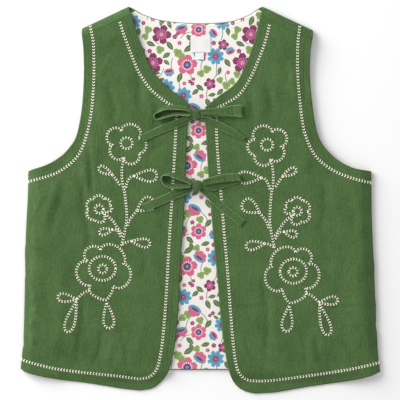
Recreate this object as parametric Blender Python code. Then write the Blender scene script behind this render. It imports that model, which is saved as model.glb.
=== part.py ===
"""A child's lined cotton waistcoat, laid flat on its back with both bows tied.

X runs across the body, Y up it and Z away from the surface it lies on. The pieces are
drafted in millimetres on that surface, as a pattern cutter draws them, bent round the side
and shoulder folds, given their wall, and written to the meshes in metres.
"""

import math
from functools import lru_cache

import bmesh
import bpy
import numpy as np
from mathutils import Vector
from mathutils.geometry import delaunay_2d_cdt

MM = 0.001

# Cloth walls and the gaps between sewn pieces
BACK_WALL = 2.2
FRONT_WALL = 2.2
LINING_WALL = 0.8
TIE_WALL = 1.4
SEAM_GAP = 0.3
EDGE_ROLL = 0.55

# How the layers lie
FOLD_RADIUS = 4.5
LINING_BASE = BACK_WALL + SEAM_GAP
LINING_TOP = LINING_BASE + LINING_WALL
FRONT_BASE = 4.1
FRONT_TOP = FRONT_BASE + FRONT_WALL
FOLD_TOP = 2 * FOLD_RADIUS
SIDE_LOFT_REACH = 52.0
SHOULDER_LOFT_REACH = 46.0
BACK_HEM_Y = -178.5
HEM_DROP_START = 1.0
HEM_DROP_REACH = 13.0

# Mesh spacing
BORDER_STEP = 8.0
EDGE_RING = 1.8
FOLD_ROWS = (4.0, 7.1)
FRONT_LATTICE = 13.0
BACK_LATTICE = 30.0
SAME_POINT = 0.6

# Shoulder folds. Columns: armhole end x, y, neck end x, y, seam distance down the front
SHOULDERS = {
    "left": (-124.8, 180.5, -75.3, 203.8, 9.0),
    "right": (118.7, 178.5, 65.1, 203.8, 10.5),
}

# Side folds as seen from above. Columns: x, y
SIDES = {
    "left": [(-181.0, 30.6), (-181.8, 0.0), (-183.8, -40.2), (-185.1, -107.1), (-186.2, -145.0),
             (-188.0, -166.0), (-189.0, -177.5)],
    "right": [(179.7, 30.2), (180.3, -20.1), (182.9, -80.3), (185.0, -134.0), (187.0, -164.0),
              (189.0, -180.5)],
}

# Armholes of the fronts, shoulder seam to underarm. Columns: x, y
ARMHOLES = {
    "left": [(-124.1, 170.5), (-122.9, 156.5), (-122.6, 129.7), (-124.8, 96.2), (-130.2, 68.0),
             (-138.2, 54.6), (-147.6, 45.3), (-161.0, 37.3), (-181.0, 30.6)],
    "right": [(117.1, 167.5), (115.3, 153.0), (115.0, 129.7), (117.3, 102.9), (121.4, 76.0),
              (126.7, 61.3), (134.7, 50.6), (145.4, 41.3), (160.2, 33.8), (179.7, 30.2)],
}

# Neck edges of the fronts, shoulder seam to front corner. Columns: x, y
NECKS = {
    "left": [(-72.6, 195.0), (-69.9, 185.9), (-63.2, 165.8), (-51.1, 137.7), (-36.4, 120.2),
             (-20.4, 108.3), (-12.3, 101.5)],
    "right": [(62.9, 193.2), (60.6, 184.0), (55.8, 164.4), (47.7, 143.0), (37.0, 123.0),
              (19.5, 109.5), (4.8, 97.5)],
}

# Front edges with the round hem corner, neck corner to hem. Columns: x, y
FRONT_EDGES = {
    "left": [(-12.3, 101.5), (-12.3, 84.1), (-14.3, 62.7), (-16.4, 0.0), (-20.4, -60.3),
             (-23.0, -113.8), (-27.1, -154.0), (-32.4, -176.8), (-39.1, -188.8), (-49.8, -197.5),
             (-63.2, -200.4)],
    "right": [(4.8, 97.5), (5.5, 76.0), (8.2, 26.6), (13.5, -40.2), (17.5, -80.3),
              (20.9, -120.5), (24.9, -154.0), (30.2, -180.8), (37.0, -194.3), (46.3, -200.9),
              (57.0, -203.6)],
}

# Hems of the fronts, round corner to side. Columns: x, y
HEMS = {
    "left": [(-63.2, -200.4), (-83.3, -198.2), (-116.8, -192.9), (-143.5, -189.5),
             (-166.3, -185.5), (-183.8, -180.8), (-189.0, -177.5)],
    "right": [(57.0, -203.6), (79.8, -202.2), (106.6, -197.5), (133.5, -193.5), (160.2, -189.5),
              (177.6, -185.2), (189.0, -180.5)],
}

# Back neck edge, left shoulder to right. Columns: x, y
BACK_NECK = [(-61.3, 195.3), (-45.3, 189.9), (-25.2, 187.0), (-5.0, 185.9), (15.0, 186.2),
             (35.1, 188.6), (52.5, 195.3)]
NECK_FLARE = 3.0
BACK_ARMHOLE_INSET = 1.2
LINING_HOLE_INSET = 2.0
LINING_EDGE_INSET = 0.8
LINING_SIDE_TOP = 25.0
LINING_SIDE_POINTS = 14

# Largest soft folds of the fronts. Columns: from x, y, to x, y, half width, height
FOLDS = [
    (-119.0, 64.0, -110.0, 20.0, 7.0, 1.5),
    (-54.0, 122.0, -43.0, 84.0, 8.0, 1.1),
    (-166.0, 26.0, -179.0, -22.0, 6.0, 0.9),
    (-130.0, -118.0, -126.0, -170.0, 7.0, 1.1),
    (-79.0, -135.0, -77.0, -176.0, 8.0, 1.0),
    (-60.0, 40.0, -66.0, -60.0, 9.0, -0.4),
    (-100.0, -40.0, -104.0, -120.0, 9.0, -0.4),
    (112.0, 70.0, 104.0, 24.0, 7.0, 1.3),
    (52.0, 118.0, 44.0, 70.0, 8.0, 1.0),
    (166.0, 22.0, 176.0, -28.0, 6.0, 0.9),
    (128.0, -112.0, 132.0, -168.0, 7.0, 1.1),
    (86.0, -140.0, 88.0, -180.0, 8.0, 1.0),
    (66.0, 36.0, 70.0, -66.0, 9.0, -0.4),
    (104.0, -36.0, 108.0, -112.0, 9.0, -0.4),
]

FOLD_TAPER = 2.5
FOLD_OVERRUN = 0.25

# Label and size tab at the back neck. Columns: centre x, y, width, length, thickness
LABEL = (0.1, 163.4, 21.0, 16.8, 0.7)
SIZE_TAB = (-1.0, 151.2, 9.4, 7.2, 0.5)

# Ties. A row is one place along the cloth strip. Columns: x, y, height of its middle above
# the front, direction of its width in plan in degrees, lean of its width in degrees, width
TIES = {
    "upper_loop_left": [
        (-9.4, 94.2, 3.8, 90, 62, 6.0), (-18.0, 97.0, 4.4, 95, 66, 7.2),
        (-29.0, 97.6, 4.2, 96, 68, 7.6), (-39.0, 95.4, 4.1, 104, 70, 7.8),
        (-46.0, 91.0, 4.0, 140, 72, 7.8), (-48.4, 88.2, 4.0, 180, 74, 7.8),
        (-46.6, 85.6, 4.0, 240, 76, 7.8), (-42.0, 86.4, 4.0, 262, 78, 7.8),
        (-34.0, 89.6, 4.0, 268, 80, 7.6), (-24.0, 91.6, 4.1, 268, 82, 7.2),
        (-10.4, 90.6, 3.9, 268, 84, 6.0)],
    "upper_loop_right": [
        (0.2, 89.8, 3.4, 92, 4, 6.8), (14.0, 91.0, 2.6, 92, 3, 8.4),
        (28.0, 92.2, 1.4, 92, 2, 8.6), (39.0, 93.0, 1.1, 92, 0, 8.6),
        (43.0, 93.4, 2.1, 92, 0, 8.8), (43.6, 93.6, 3.0, 92, 0, 8.8),
        (42.6, 93.8, 3.9, 92, 0, 8.8), (38.0, 94.0, 4.5, 92, 0, 9.0),
        (28.0, 93.6, 4.7, 92, 0, 9.0), (14.0, 92.8, 4.9, 92, 0, 8.0),
        (0.2, 92.0, 5.0, 92, 0, 6.2)],
    "upper_tail_left": [
        (-9.8, 86.4, 2.0, 96, 6, 5.8), (-18.0, 82.8, 1.5, 108, 6, 8.0),
        (-28.0, 79.0, 1.1, 114, 2, 8.4), (-40.0, 74.4, 1.1, 116, 0, 8.2),
        (-52.0, 69.0, 1.1, 118, 0, 8.0), (-62.6, 64.2, 1.1, 116, 0, 7.8)],
    "upper_tail_right": [
        (-0.5, 86.2, 1.3, 80, 4, 5.6), (10.0, 82.6, 1.1, 70, 2, 7.6),
        (22.0, 77.0, 1.1, 62, 2, 8.0), (34.0, 70.8, 1.1, 60, 0, 6.8),
        (46.8, 64.2, 1.1, 58, 0, 2.8)],
    "lower_loop_left": [
        (-8.6, 18.2, 3.4, 88, 52, 6.0), (-20.0, 23.4, 4.0, 76, 56, 7.4),
        (-31.0, 27.2, 3.9, 80, 62, 7.8), (-38.4, 26.4, 3.9, 130, 68, 7.8),
        (-40.6, 23.2, 3.9, 180, 70, 7.8), (-38.8, 18.6, 3.9, 214, 66, 7.8),
        (-33.0, 14.6, 3.7, 246, 58, 7.6), (-25.0, 13.6, 3.6, 262, 52, 7.4),
        (-10.2, 14.6, 4.2, 268, 42, 5.6)],
    "lower_loop_right": [
        (2.2, 15.8, 3.4, 84, 10, 6.2), (13.0, 13.8, 2.2, 84, 6, 8.0),
        (27.0, 17.8, 1.1, 102, 2, 8.2), (37.4, 21.0, 1.1, 106, 0, 7.8),
        (41.2, 22.6, 2.1, 108, 0, 7.0), (41.8, 23.0, 3.0, 108, 0, 6.8),
        (40.8, 23.8, 3.9, 108, 0, 7.0), (36.0, 24.0, 4.5, 102, 0, 8.2),
        (24.0, 23.0, 4.7, 100, 0, 8.4), (12.0, 20.6, 4.8, 104, 0, 7.4),
        (3.4, 18.4, 5.0, 104, 0, 6.0)],
    "lower_tail_left": [
        (-8.8, 12.0, 2.0, 100, 6, 6.0), (-20.0, 8.2, 1.5, 106, 4, 8.6),
        (-32.0, 3.6, 1.1, 112, 2, 9.0), (-46.0, -2.6, 1.1, 114, 0, 9.0),
        (-60.4, -8.6, 1.1, 112, 0, 8.4)],
    "lower_tail_right": [
        (0.9, 11.0, 1.3, 66, 4, 5.6), (10.0, 4.6, 1.1, 48, 2, 8.0),
        (20.0, -5.0, 1.1, 44, 0, 8.6), (32.0, -14.6, 1.1, 46, 0, 8.6),
        (44.6, -24.6, 1.1, 46, 0, 8.4)],
    "upper_root_left": [
        (-11.8, 90.6, -1.0, 90, 0, 8.4), (-9.9, 90.6, -0.9, 90, 0, 8.2)],
    "upper_root_right": [
        (4.5, 90.4, -1.0, 90, 0, 8.4), (2.4, 90.4, -0.9, 90, 0, 8.2),
        (0.15, 90.4, -0.8, 90, 0, 8.0)],
    "lower_root_left": [
        (-15.3, 15.8, -1.0, 90, 0, 8.6), (-12.2, 15.8, -0.9, 90, 0, 8.4),
        (-8.9, 15.8, -0.8, 90, 0, 8.2)],
    "lower_root_right": [
        (8.3, 16.6, -1.0, 90, 0, 8.6), (5.2, 16.6, -0.9, 90, 0, 8.4),
        (2.0, 16.6, -0.8, 90, 0, 8.2)],
}
TIE_STATIONS = {"loop": 22, "tail": 12, "root": 3}
TIE_SAMPLES = 60

# Knots. Columns: centre x, y, width, length, lowest and highest point above the front, turn
KNOTS = {
    "upper_knot": (-4.8, 90.4, 9.6, 11.6, -2.2, 5.6, 6.0),
    "lower_knot": (-3.4, 15.6, 10.4, 11.2, -2.2, 5.8, -12.0),
}
KNOT_SQUARENESS = 0.72
KNOT_SIDES = 16
KNOT_BANDS = 9

# Colours, linear. Columns: red, green, blue, roughness
GREEN_CLOTH = (0.083, 0.160, 0.054, 0.9)
GREEN_TIE = (0.092, 0.175, 0.060, 0.88)
LINING_CLOTH = (0.84, 0.80, 0.76, 0.85)
LABEL_CLOTH = (0.90, 0.90, 0.88, 0.75)


def clear_scene():
    for thing in list(bpy.data.objects):
        bpy.data.objects.remove(thing, do_unlink=True)


def cloth_material(name, finish):
    made = bpy.data.materials.new(name)
    made.use_nodes = True
    shader = made.node_tree.nodes["Principled BSDF"]
    shader.inputs["Base Color"].default_value = (*finish[:3], 1.0)
    shader.inputs["Roughness"].default_value = finish[3]
    shader.inputs["Metallic"].default_value = 0.0
    return made


def smoothstep(share):
    held = np.clip(share, 0.0, 1.0)
    return held * held * (3.0 - 2.0 * held)


def smooth_curve(rows, step):
    """Points about step apart on a Catmull-Rom curve through the rows, ends included."""
    knots = np.array(rows, float)
    ends = np.vstack([2 * knots[0] - knots[1], knots, 2 * knots[-1] - knots[-2]])
    points = [knots[0]]
    for index in range(1, len(ends) - 2):
        before, start, end, after = ends[index - 1:index + 3]
        pieces = max(1, round(math.dist(start, end) / step))
        for share in np.arange(1, pieces + 1) / pieces:
            square = share * share
            cube = square * share
            points.append(0.5 * (2 * start + (end - before) * share
                                 + (2 * before - 5 * start + 4 * end - after) * square
                                 + (3 * start - before - 3 * end + after) * cube))
    return np.array(points)


@lru_cache
def side_line(side):
    """The side fold's outline from hem to underarm."""
    return smooth_curve(SIDES[side], 2.0)[::-1]


def side_x(side, y):
    """How far out the side fold lies at this height; above the underarm it runs on."""
    line = side_line(side)
    return np.interp(y, line[:, 1], line[:, 0])


def shoulder_frame(side):
    """Armhole end of the fold, the unit way along it to the neck, and the way outward."""
    arm_x, arm_y, neck_x, neck_y, down = SHOULDERS[side]
    along = np.array([neck_x - arm_x, neck_y - arm_y])
    along /= np.linalg.norm(along)
    outward = np.array([-along[1], along[0]])
    if outward[1] < 0:
        outward = -outward
    return np.array([arm_x, arm_y]), along, outward, down


def side_of(x):
    return "left" if x < 0 else "right"


def past_side(x, y):
    """Distance past the line where the cloth starts to bend round the side fold."""
    return abs(x) - (abs(side_x(side_of(x), y)) - FOLD_RADIUS)


def below_shoulder(x, y):
    """Distance of this point below the shoulder fold."""
    corner, _, outward, _ = shoulder_frame(side_of(x))
    return -float((np.array([x, y]) - corner) @ outward)


def fold_height(x, y):
    """Height that the soft folds of the table add here."""
    total = 0.0
    for from_x, from_y, to_x, to_y, half_width, height in FOLDS:
        run = np.array([to_x - from_x, to_y - from_y])
        length = np.linalg.norm(run)
        offset = np.array([x - from_x, y - from_y])
        share = float(offset @ run) / length ** 2
        away = float(offset[0] * run[1] - offset[1] * run[0]) / length
        taper = smoothstep(min(share, 1.0 - share) * FOLD_TAPER + FOLD_OVERRUN)
        total += height * taper * math.exp(-(away / half_width) ** 2)
    return total


def front_top(x, y):
    """Height of a front's outer face: lofty near the folds, down on the surface past the back's hem."""
    loft = FOLD_TOP - FRONT_TOP
    near_side = 1.0 - smoothstep(-past_side(x, y) / SIDE_LOFT_REACH)
    down = SHOULDERS[side_of(x)][4]
    near_shoulder = 1.0 - smoothstep((below_shoulder(x, y) - down) / SHOULDER_LOFT_REACH)
    lift = max(near_side, near_shoulder)
    off_back = smoothstep((BACK_HEM_Y - HEM_DROP_START - y) / HEM_DROP_REACH) * (1.0 - near_side)
    folds = fold_height(x, y) * (1.0 - lift) * (1.0 - off_back)
    return FRONT_TOP + loft * lift + folds - FRONT_BASE * off_back


def bent(start, outward, distance, radius, depth):
    """Where cloth lies round a fold: plan position and height, above the lowest layer."""
    turn = min(distance / radius, math.pi)
    flat = max(0.0, distance - math.pi * radius)
    place = start + outward * ((radius - depth) * math.sin(turn) - flat)
    return place, radius - (radius - depth) * math.cos(turn)


def front_place(x, y, depth):
    """A pattern point of a front, laid out. Depth is measured in from the outer face."""
    past = past_side(x, y)
    if past <= 0.0:
        return x, y, front_top(x, y) - depth
    out = -1.0 if x < 0 else 1.0
    start = np.array([x - out * past, y])
    place, height = bent(start, np.array([out, 0.0]), past, FOLD_RADIUS, depth)
    return place[0], place[1], FOLD_TOP - height


def back_place(x, y, depth):
    """A pattern point of the back, laid out. Its outer face is the one that it lies on."""
    out = -1.0 if x < 0 else 1.0
    past = past_side(x, y)
    if past > 0.0:
        start = np.array([x - out * past, y])
        place, height = bent(start, np.array([out, 0.0]), past, FOLD_RADIUS, depth)
        return place[0], place[1], height
    _, _, outward, _ = shoulder_frame(side_of(x))
    past = FOLD_RADIUS - below_shoulder(x, y)
    if past <= 0.0:
        return x, y, depth
    start = np.array([x, y]) - outward * past
    place, height = bent(start, outward, past, FOLD_RADIUS, depth)
    return place[0], place[1], height


def seam_line(side):
    """Pattern points of a side edge: the fold's outline let out by what bends under."""
    inner_turn = FOLD_RADIUS / (FOLD_RADIUS - FRONT_WALL)
    let_out = FOLD_RADIUS * (math.pi / 2 - 1) - inner_turn * SEAM_GAP / 2
    out = -1.0 if side == "left" else 1.0
    points = smooth_curve(SIDES[side], BORDER_STEP)
    points[:, 0] = side_x(side, points[:, 1]) + out * let_out
    return points


def joined(*stretches):
    """One closed outline from stretches that follow each other, without doubled corners."""
    points = []
    for stretch in stretches:
        for point in stretch:
            if not points or math.dist(points[-1], point) > SAME_POINT:
                points.append(tuple(point))
    if math.dist(points[0], points[-1]) < SAME_POINT:
        points.pop()
    return points


def moved_in(outline, distance):
    """The outline moved inward, corner by corner."""
    points = np.array(outline)
    before = points - np.roll(points, 1, axis=0)
    after = np.roll(points, -1, axis=0) - points
    before /= np.linalg.norm(before, axis=1)[:, None]
    after /= np.linalg.norm(after, axis=1)[:, None]
    way = before + after
    way /= np.linalg.norm(way, axis=1)[:, None]
    turn = 1.0 if signed_area(points) > 0 else -1.0
    inward = np.stack([-way[:, 1], way[:, 0]], axis=1) * turn
    spread = np.clip(np.einsum("ij,ij->i", way, after), 0.5, 1.0)[:, None]
    return points + inward * distance / spread


def signed_area(points):
    x, y = np.array(points).T
    return 0.5 * float(np.sum(x * np.roll(y, -1) - np.roll(x, -1) * y))


def inside(outline, x, y):
    """True where the point lies within the outline."""
    corners = np.array(outline)
    ahead = np.roll(corners, -1, axis=0)
    spans = (corners[:, 1] > y) != (ahead[:, 1] > y)
    rise = np.where(spans, ahead[:, 1] - corners[:, 1], 1.0)
    cross = corners[:, 0] + (y - corners[:, 1]) * (ahead[:, 0] - corners[:, 0]) / rise
    return bool(np.count_nonzero(spans & (x < cross)) % 2)


def lattice(outline, spacing, clear):
    """Points of an even triangular lattice that lie inside the outline, clear of its edge."""
    corners = np.array(outline)
    low = corners.min(axis=0)
    high = corners.max(axis=0)
    found = []
    row_height = spacing * math.sqrt(3) / 2
    for row in range(int((high[1] - low[1]) / row_height) + 1):
        y = low[1] + (row + 0.5) * row_height
        for column in range(int((high[0] - low[0]) / spacing) + 1):
            x = low[0] + (column + 0.5 * (row % 2)) * spacing
            if inside(outline, x, y) and np.min(np.hypot(*(corners - (x, y)).T)) > clear:
                found.append((x, y))
    return found


def cloth_mesh(outline, extra, spacing):
    """Triangles over a pattern piece: its edge, a ring inside it, extra rows, a lattice."""
    ring = moved_in(outline, EDGE_RING)
    core = moved_in(outline, EDGE_RING + 2.0)
    inner = [point for point in lattice(ring, spacing, spacing * 0.55)
             if not len(extra) or np.min(np.hypot(*(np.array(extra) - point).T)) > spacing * 0.45]
    rows = [point for point in extra if inside(core, *point)]
    count = len(outline)
    points = [Vector(point) for point in [*outline, *ring, *rows, *inner]]
    loops = [(index, (index + 1) % count) for index in range(count)]
    loops += [(count + a, count + b) for a, b in loops]
    made = delaunay_2d_cdt(points, loops, [list(range(count))], 1, 1e-4)
    return [tuple(point) for point in made[0]], made[2]


def border_edges(faces):
    """Edges that only one face uses, each the way that face runs."""
    found = {}
    for face in faces:
        for a, b in zip(face, [*face[1:], face[0]]):
            key = (min(a, b), max(a, b))
            found[key] = None if key in found else (a, b)
    return [edge for edge in found.values() if edge]


def near_line(line, point, reach=1.2):
    """True where the point lies on one of the line's stretches."""
    start = np.array(line[:-1])
    run = np.array(line[1:]) - start
    share = np.einsum("ij,ij->i", point - start, run) / np.einsum("ij,ij->i", run, run)
    foot = start + np.clip(share, 0.0, 1.0)[:, None] * run
    return float(np.min(np.hypot(*(foot - point).T))) < reach


def finished(name, builder, material):
    """An object from a filled bmesh, in metres, with its faces pointing out."""
    bmesh.ops.scale(builder, vec=(MM, MM, MM), verts=builder.verts)
    bmesh.ops.recalc_face_normals(builder, faces=builder.faces)
    bmesh.ops.triangulate(builder, faces=builder.faces)
    mesh = bpy.data.meshes.new(name)
    builder.to_mesh(mesh)
    builder.free()
    mesh.shade_smooth()
    mesh.set_sharp_from_angle(angle=math.radians(50))
    mesh.materials.append(material)
    made = bpy.data.objects.new(name, mesh)
    bpy.context.scene.collection.objects.link(made)
    return made


def cloth_piece(name, pattern, place, wall, seams, material):
    """A wall of cloth over a pattern's triangles, its free edges rolled, its seams square."""
    points, faces = pattern
    edges = border_edges(faces)
    border = {index for edge in edges for index in edge}
    builder = bmesh.new()
    outer = []
    inner = []
    for index, point in enumerate(points):
        free = index in border and not any(near_line(seam, np.array(point)) for seam in seams)
        roll = EDGE_ROLL * min(1.0, wall / FRONT_WALL) if free else 0.0
        outer.append(builder.verts.new(place(*point, roll)))
        inner.append(builder.verts.new(place(*point, wall - roll)))
    for face in faces:
        builder.faces.new([outer[index] for index in face])
        builder.faces.new([inner[index] for index in reversed(face)])
    for a, b in edges:
        builder.faces.new([outer[b], outer[a], inner[a], inner[b]])
    return finished(name, builder, material)


def fold_rows(side):
    """Rows of pattern points that run along a side fold, where the cloth bends."""
    line = seam_line(side)
    out = -1.0 if side == "left" else 1.0
    return [(x - out * distance, y) for distance in FOLD_ROWS for x, y in line[1:-1]]


def seam_end(side, point):
    """The point moved square to the shoulder seam until it is one seam gap below it."""
    _, _, outward, down = shoulder_frame(side)
    return np.array(point) + outward * (below_shoulder(*point) - down - SEAM_GAP)


def front_pattern(side):
    armhole = [seam_end(side, ARMHOLES[side][0]), *ARMHOLES[side][1:]]
    neck = [seam_end(side, NECKS[side][0]), *NECKS[side][1:]]
    seam = [armhole[0], neck[0]]
    outline = joined(
        smooth_curve(seam, BORDER_STEP),
        smooth_curve(neck, BORDER_STEP),
        smooth_curve(FRONT_EDGES[side], BORDER_STEP),
        smooth_curve(HEMS[side], BORDER_STEP)[:-1],
        seam_line(side)[::-1],
        smooth_curve(armhole, BORDER_STEP)[::-1],
    )
    return cloth_mesh(outline, fold_rows(side), FRONT_LATTICE), seam


def shoulder_strip(side):
    """Pattern points of the back's shoulder: the armhole end, the seam, the neck end."""
    corner, along, outward, down = shoulder_frame(side)
    length = np.linalg.norm(np.array(SHOULDERS[side][2:4]) - corner)
    reach = math.pi * FOLD_RADIUS + down - FOLD_RADIUS
    seam_neck = float((np.array(NECKS[side][0]) - corner) @ along)
    seam_arm = float((np.array(ARMHOLES[side][0]) - corner) @ along)
    start = corner - outward * FOLD_RADIUS
    half_turn = math.pi * FOLD_RADIUS / 2

    def point(a, b):
        return start + along * a + outward * b

    arm_end = [point(seam_arm * 0.5, 0.0), point(0.0, half_turn), point(seam_arm, reach)]
    neck_end = [point(seam_neck, reach), point(length, half_turn), point(length + NECK_FLARE, 0.0)]
    bends = [half_turn * share for share in (0.0, 0.5, 1.0, 1.5, 2.0)]
    rows = [point(a, b) for b in bends for a in np.arange(BORDER_STEP * 0.75, length, BORDER_STEP)]
    return arm_end, neck_end, [tuple(row) for row in rows]


def back_armhole(side):
    """Pattern points of the back's armhole, a little inside the front's."""
    inset = BACK_ARMHOLE_INSET if side == "left" else -BACK_ARMHOLE_INSET
    rows = [(x + inset, y - BACK_ARMHOLE_INSET) for x, y in ARMHOLES[side][:-1]]
    return [*rows, ARMHOLES[side][-1]]


def back_pattern():
    left_arm, left_neck, left_rows = shoulder_strip("left")
    right_arm, right_neck, right_rows = shoulder_strip("right")
    hem = [(seam_line("left")[-1][0], BACK_HEM_Y), (seam_line("right")[-1][0], BACK_HEM_Y)]
    left_side = [row for row in seam_line("left") if row[1] > BACK_HEM_Y + 3.0]
    right_side = [row for row in seam_line("right") if row[1] > BACK_HEM_Y + 3.0]
    left_seam = [left_arm[-1], left_neck[0]]
    right_seam = [right_neck[0], right_arm[-1]]
    outline = joined(
        smooth_curve(hem, BORDER_STEP),
        right_side[::-1],
        smooth_curve(back_armhole("right"), BORDER_STEP)[::-1],
        smooth_curve(right_arm, BORDER_STEP),
        smooth_curve(right_seam[::-1], BORDER_STEP),
        smooth_curve(right_neck, BORDER_STEP),
        smooth_curve(BACK_NECK, BORDER_STEP)[::-1],
        smooth_curve(left_neck[::-1], BORDER_STEP),
        smooth_curve(left_seam[::-1], BORDER_STEP),
        smooth_curve(left_arm[::-1], BORDER_STEP),
        smooth_curve(back_armhole("left"), BORDER_STEP),
        left_side,
    )
    extra = [*fold_rows("left"), *fold_rows("right"), *left_rows, *right_rows]
    seams = [left_seam, right_seam, left_side, right_side]
    return cloth_mesh(outline, extra, BACK_LATTICE), seams


def lining_pattern():
    """The lining covers the flat of the back and stops just short of its folds and edges."""
    left_arm, left_neck, _ = shoulder_strip("left")
    right_arm, right_neck, _ = shoulder_strip("right")
    inset = FOLD_RADIUS + SEAM_GAP
    heights = np.linspace(BACK_HEM_Y + LINING_EDGE_INSET, LINING_SIDE_TOP, LINING_SIDE_POINTS)
    left_side = [(side_x("left", y) + inset, y) for y in heights]
    right_side = [(side_x("right", y) - inset, y) for y in heights]
    left_hole = [(x + LINING_HOLE_INSET, y - LINING_HOLE_INSET) for x, y in back_armhole("left")[:-1]]
    right_hole = [(x - LINING_HOLE_INSET, y - LINING_HOLE_INSET) for x, y in back_armhole("right")[:-1]]
    left_down = shoulder_frame("left")[2]
    right_down = shoulder_frame("right")[2]
    outline = joined(
        smooth_curve([left_side[0], right_side[0]], BORDER_STEP * 2),
        right_side,
        smooth_curve(right_hole, BORDER_STEP)[::-1],
        smooth_curve([right_arm[0] - right_down - (LINING_HOLE_INSET, 0.0),
                      right_neck[-1] - right_down + (LINING_EDGE_INSET, 0.0)], BORDER_STEP),
        smooth_curve([(x, y - LINING_EDGE_INSET) for x, y in BACK_NECK], BORDER_STEP)[::-1],
        smooth_curve([left_neck[-1] - left_down - (LINING_EDGE_INSET, 0.0),
                      left_arm[0] - left_down + (LINING_HOLE_INSET, 0.0)], BORDER_STEP),
        smooth_curve(left_hole, BORDER_STEP),
        left_side[::-1],
    )
    return cloth_mesh(outline, [], BACK_LATTICE)


def lining_place(x, y, depth):
    return x, y, LINING_TOP - depth


def tie_height(x, y, lift):
    """Height of a tie's middle: its lift above the front's outer face."""
    return front_top(x, y) + lift


def tie_piece(name, rows, material):
    """A strip of doubled cloth swept through its rows, with soft edges and closed ends."""
    kind = name.split("_")[1]
    table = np.array(rows, float)
    count = TIE_STATIONS[kind]
    steps = np.linalg.norm(np.diff(table[:, :3], axis=0), axis=1)
    spaced = np.concatenate([[0.0], np.cumsum(steps)])
    smooth = smooth_curve(np.column_stack([table, spaced]), spaced[-1] / TIE_SAMPLES)
    wanted = np.linspace(0.0, spaced[-1], count)
    place = np.array([np.interp(wanted, smooth[:, 6], smooth[:, column]) for column in range(6)]).T
    middles = np.array([(x, y, tie_height(x, y, lift)) for x, y, lift, *_ in place])
    ways = np.gradient(middles, axis=0)
    ways /= np.linalg.norm(ways, axis=1)[:, None]
    builder = bmesh.new()
    rings = []
    for middle, way, (_, _, _, plan, lean, width) in zip(middles, ways, place):
        plan, lean = math.radians(plan), math.radians(lean)
        across = np.array([math.cos(plan) * math.cos(lean), math.sin(plan) * math.cos(lean),
                           math.sin(lean)])
        across -= way * (across @ way)
        across /= np.linalg.norm(across)
        up = np.cross(way, across)
        half, thin = width / 2, TIE_WALL / 2
        section = [(-half, 0.0), (-half + thin, thin), (half - thin, thin), (half, 0.0),
                   (half - thin, -thin), (-half + thin, -thin)]
        rings.append([builder.verts.new(middle + across * s + up * t) for s, t in section])
    for ring, following in zip(rings, rings[1:]):
        for index in range(len(ring)):
            ahead = (index + 1) % len(ring)
            builder.faces.new([ring[index], ring[ahead], following[ahead], following[index]])
    builder.faces.new(rings[0][::-1])
    builder.faces.new(rings[-1])
    return finished(name, builder, material)


def knot_piece(name, row, material):
    """A knot: a rounded block of wrapped cloth, flatter below."""
    x, y, width, length, low, high, turn = row
    builder = bmesh.new()
    bmesh.ops.create_uvsphere(builder, u_segments=KNOT_SIDES, v_segments=KNOT_BANDS, radius=1.0)
    middle = front_top(x, y) + (low + high) / 2
    turned = math.radians(turn)
    for vertex in builder.verts:
        squared = [math.copysign(abs(part) ** KNOT_SQUARENESS, part) for part in vertex.co]
        across, along = squared[0] * width / 2, squared[1] * length / 2
        vertex.co = (x + across * math.cos(turned) - along * math.sin(turned),
                     y + across * math.sin(turned) + along * math.cos(turned),
                     middle + squared[2] * (high - low) / 2)
    return finished(name, builder, material)


def label_piece(name, row, material):
    """A flat woven label lying on the lining, its edges eased."""
    x, y, width, length, thickness = row
    builder = bmesh.new()
    bmesh.ops.create_cube(builder, size=1.0)
    for vertex in builder.verts:
        vertex.co = (x + vertex.co.x * width, y + vertex.co.y * length,
                     LINING_TOP + SEAM_GAP + (vertex.co.z + 0.5) * thickness)
    upper = [edge for edge in builder.edges
             if all(end.co.z > LINING_TOP + SEAM_GAP + thickness / 2 for end in edge.verts)]
    bmesh.ops.bevel(builder, geom=upper, offset=thickness * 0.5, segments=1, affect="EDGES")
    return finished(name, builder, material)


def main():
    clear_scene()
    green = cloth_material("green cloth", GREEN_CLOTH)
    tie_green = cloth_material("tie cloth", GREEN_TIE)
    printed = cloth_material("printed lining", LINING_CLOTH)
    woven = cloth_material("woven label", LABEL_CLOTH)
    back, back_seams = back_pattern()
    cloth_piece("back", back, back_place, BACK_WALL, back_seams, green)
    cloth_piece("back_lining", lining_pattern(), lining_place, LINING_WALL, [], printed)
    for side in ("left", "right"):
        pattern, seam = front_pattern(side)
        cloth_piece(f"front_{side}", pattern, front_place, FRONT_WALL, [seam, seam_line(side)], green)
    label_piece("label", LABEL, woven)
    label_piece("size_tab", SIZE_TAB, woven)
    for name, row in KNOTS.items():
        knot_piece(name, row, tie_green)
    for name, rows in TIES.items():
        tie_piece(name, rows, tie_green)


main()
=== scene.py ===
# %% [markdown]
# # A child's lined waistcoat in green cotton
#
# The waistcoat lies flat on its back, both bows tied. On the real one a whole back runs over
# the shoulders to seams at the front, two fronts lie on it, a flower-printed lining shows
# through the neck and between the fronts, and chain stitch borders and sprays are sewn on top.
#
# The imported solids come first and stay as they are. Every piece of cloth made below stands in
# the place of one of them, so the numbers of the cut are the same as theirs.

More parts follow.
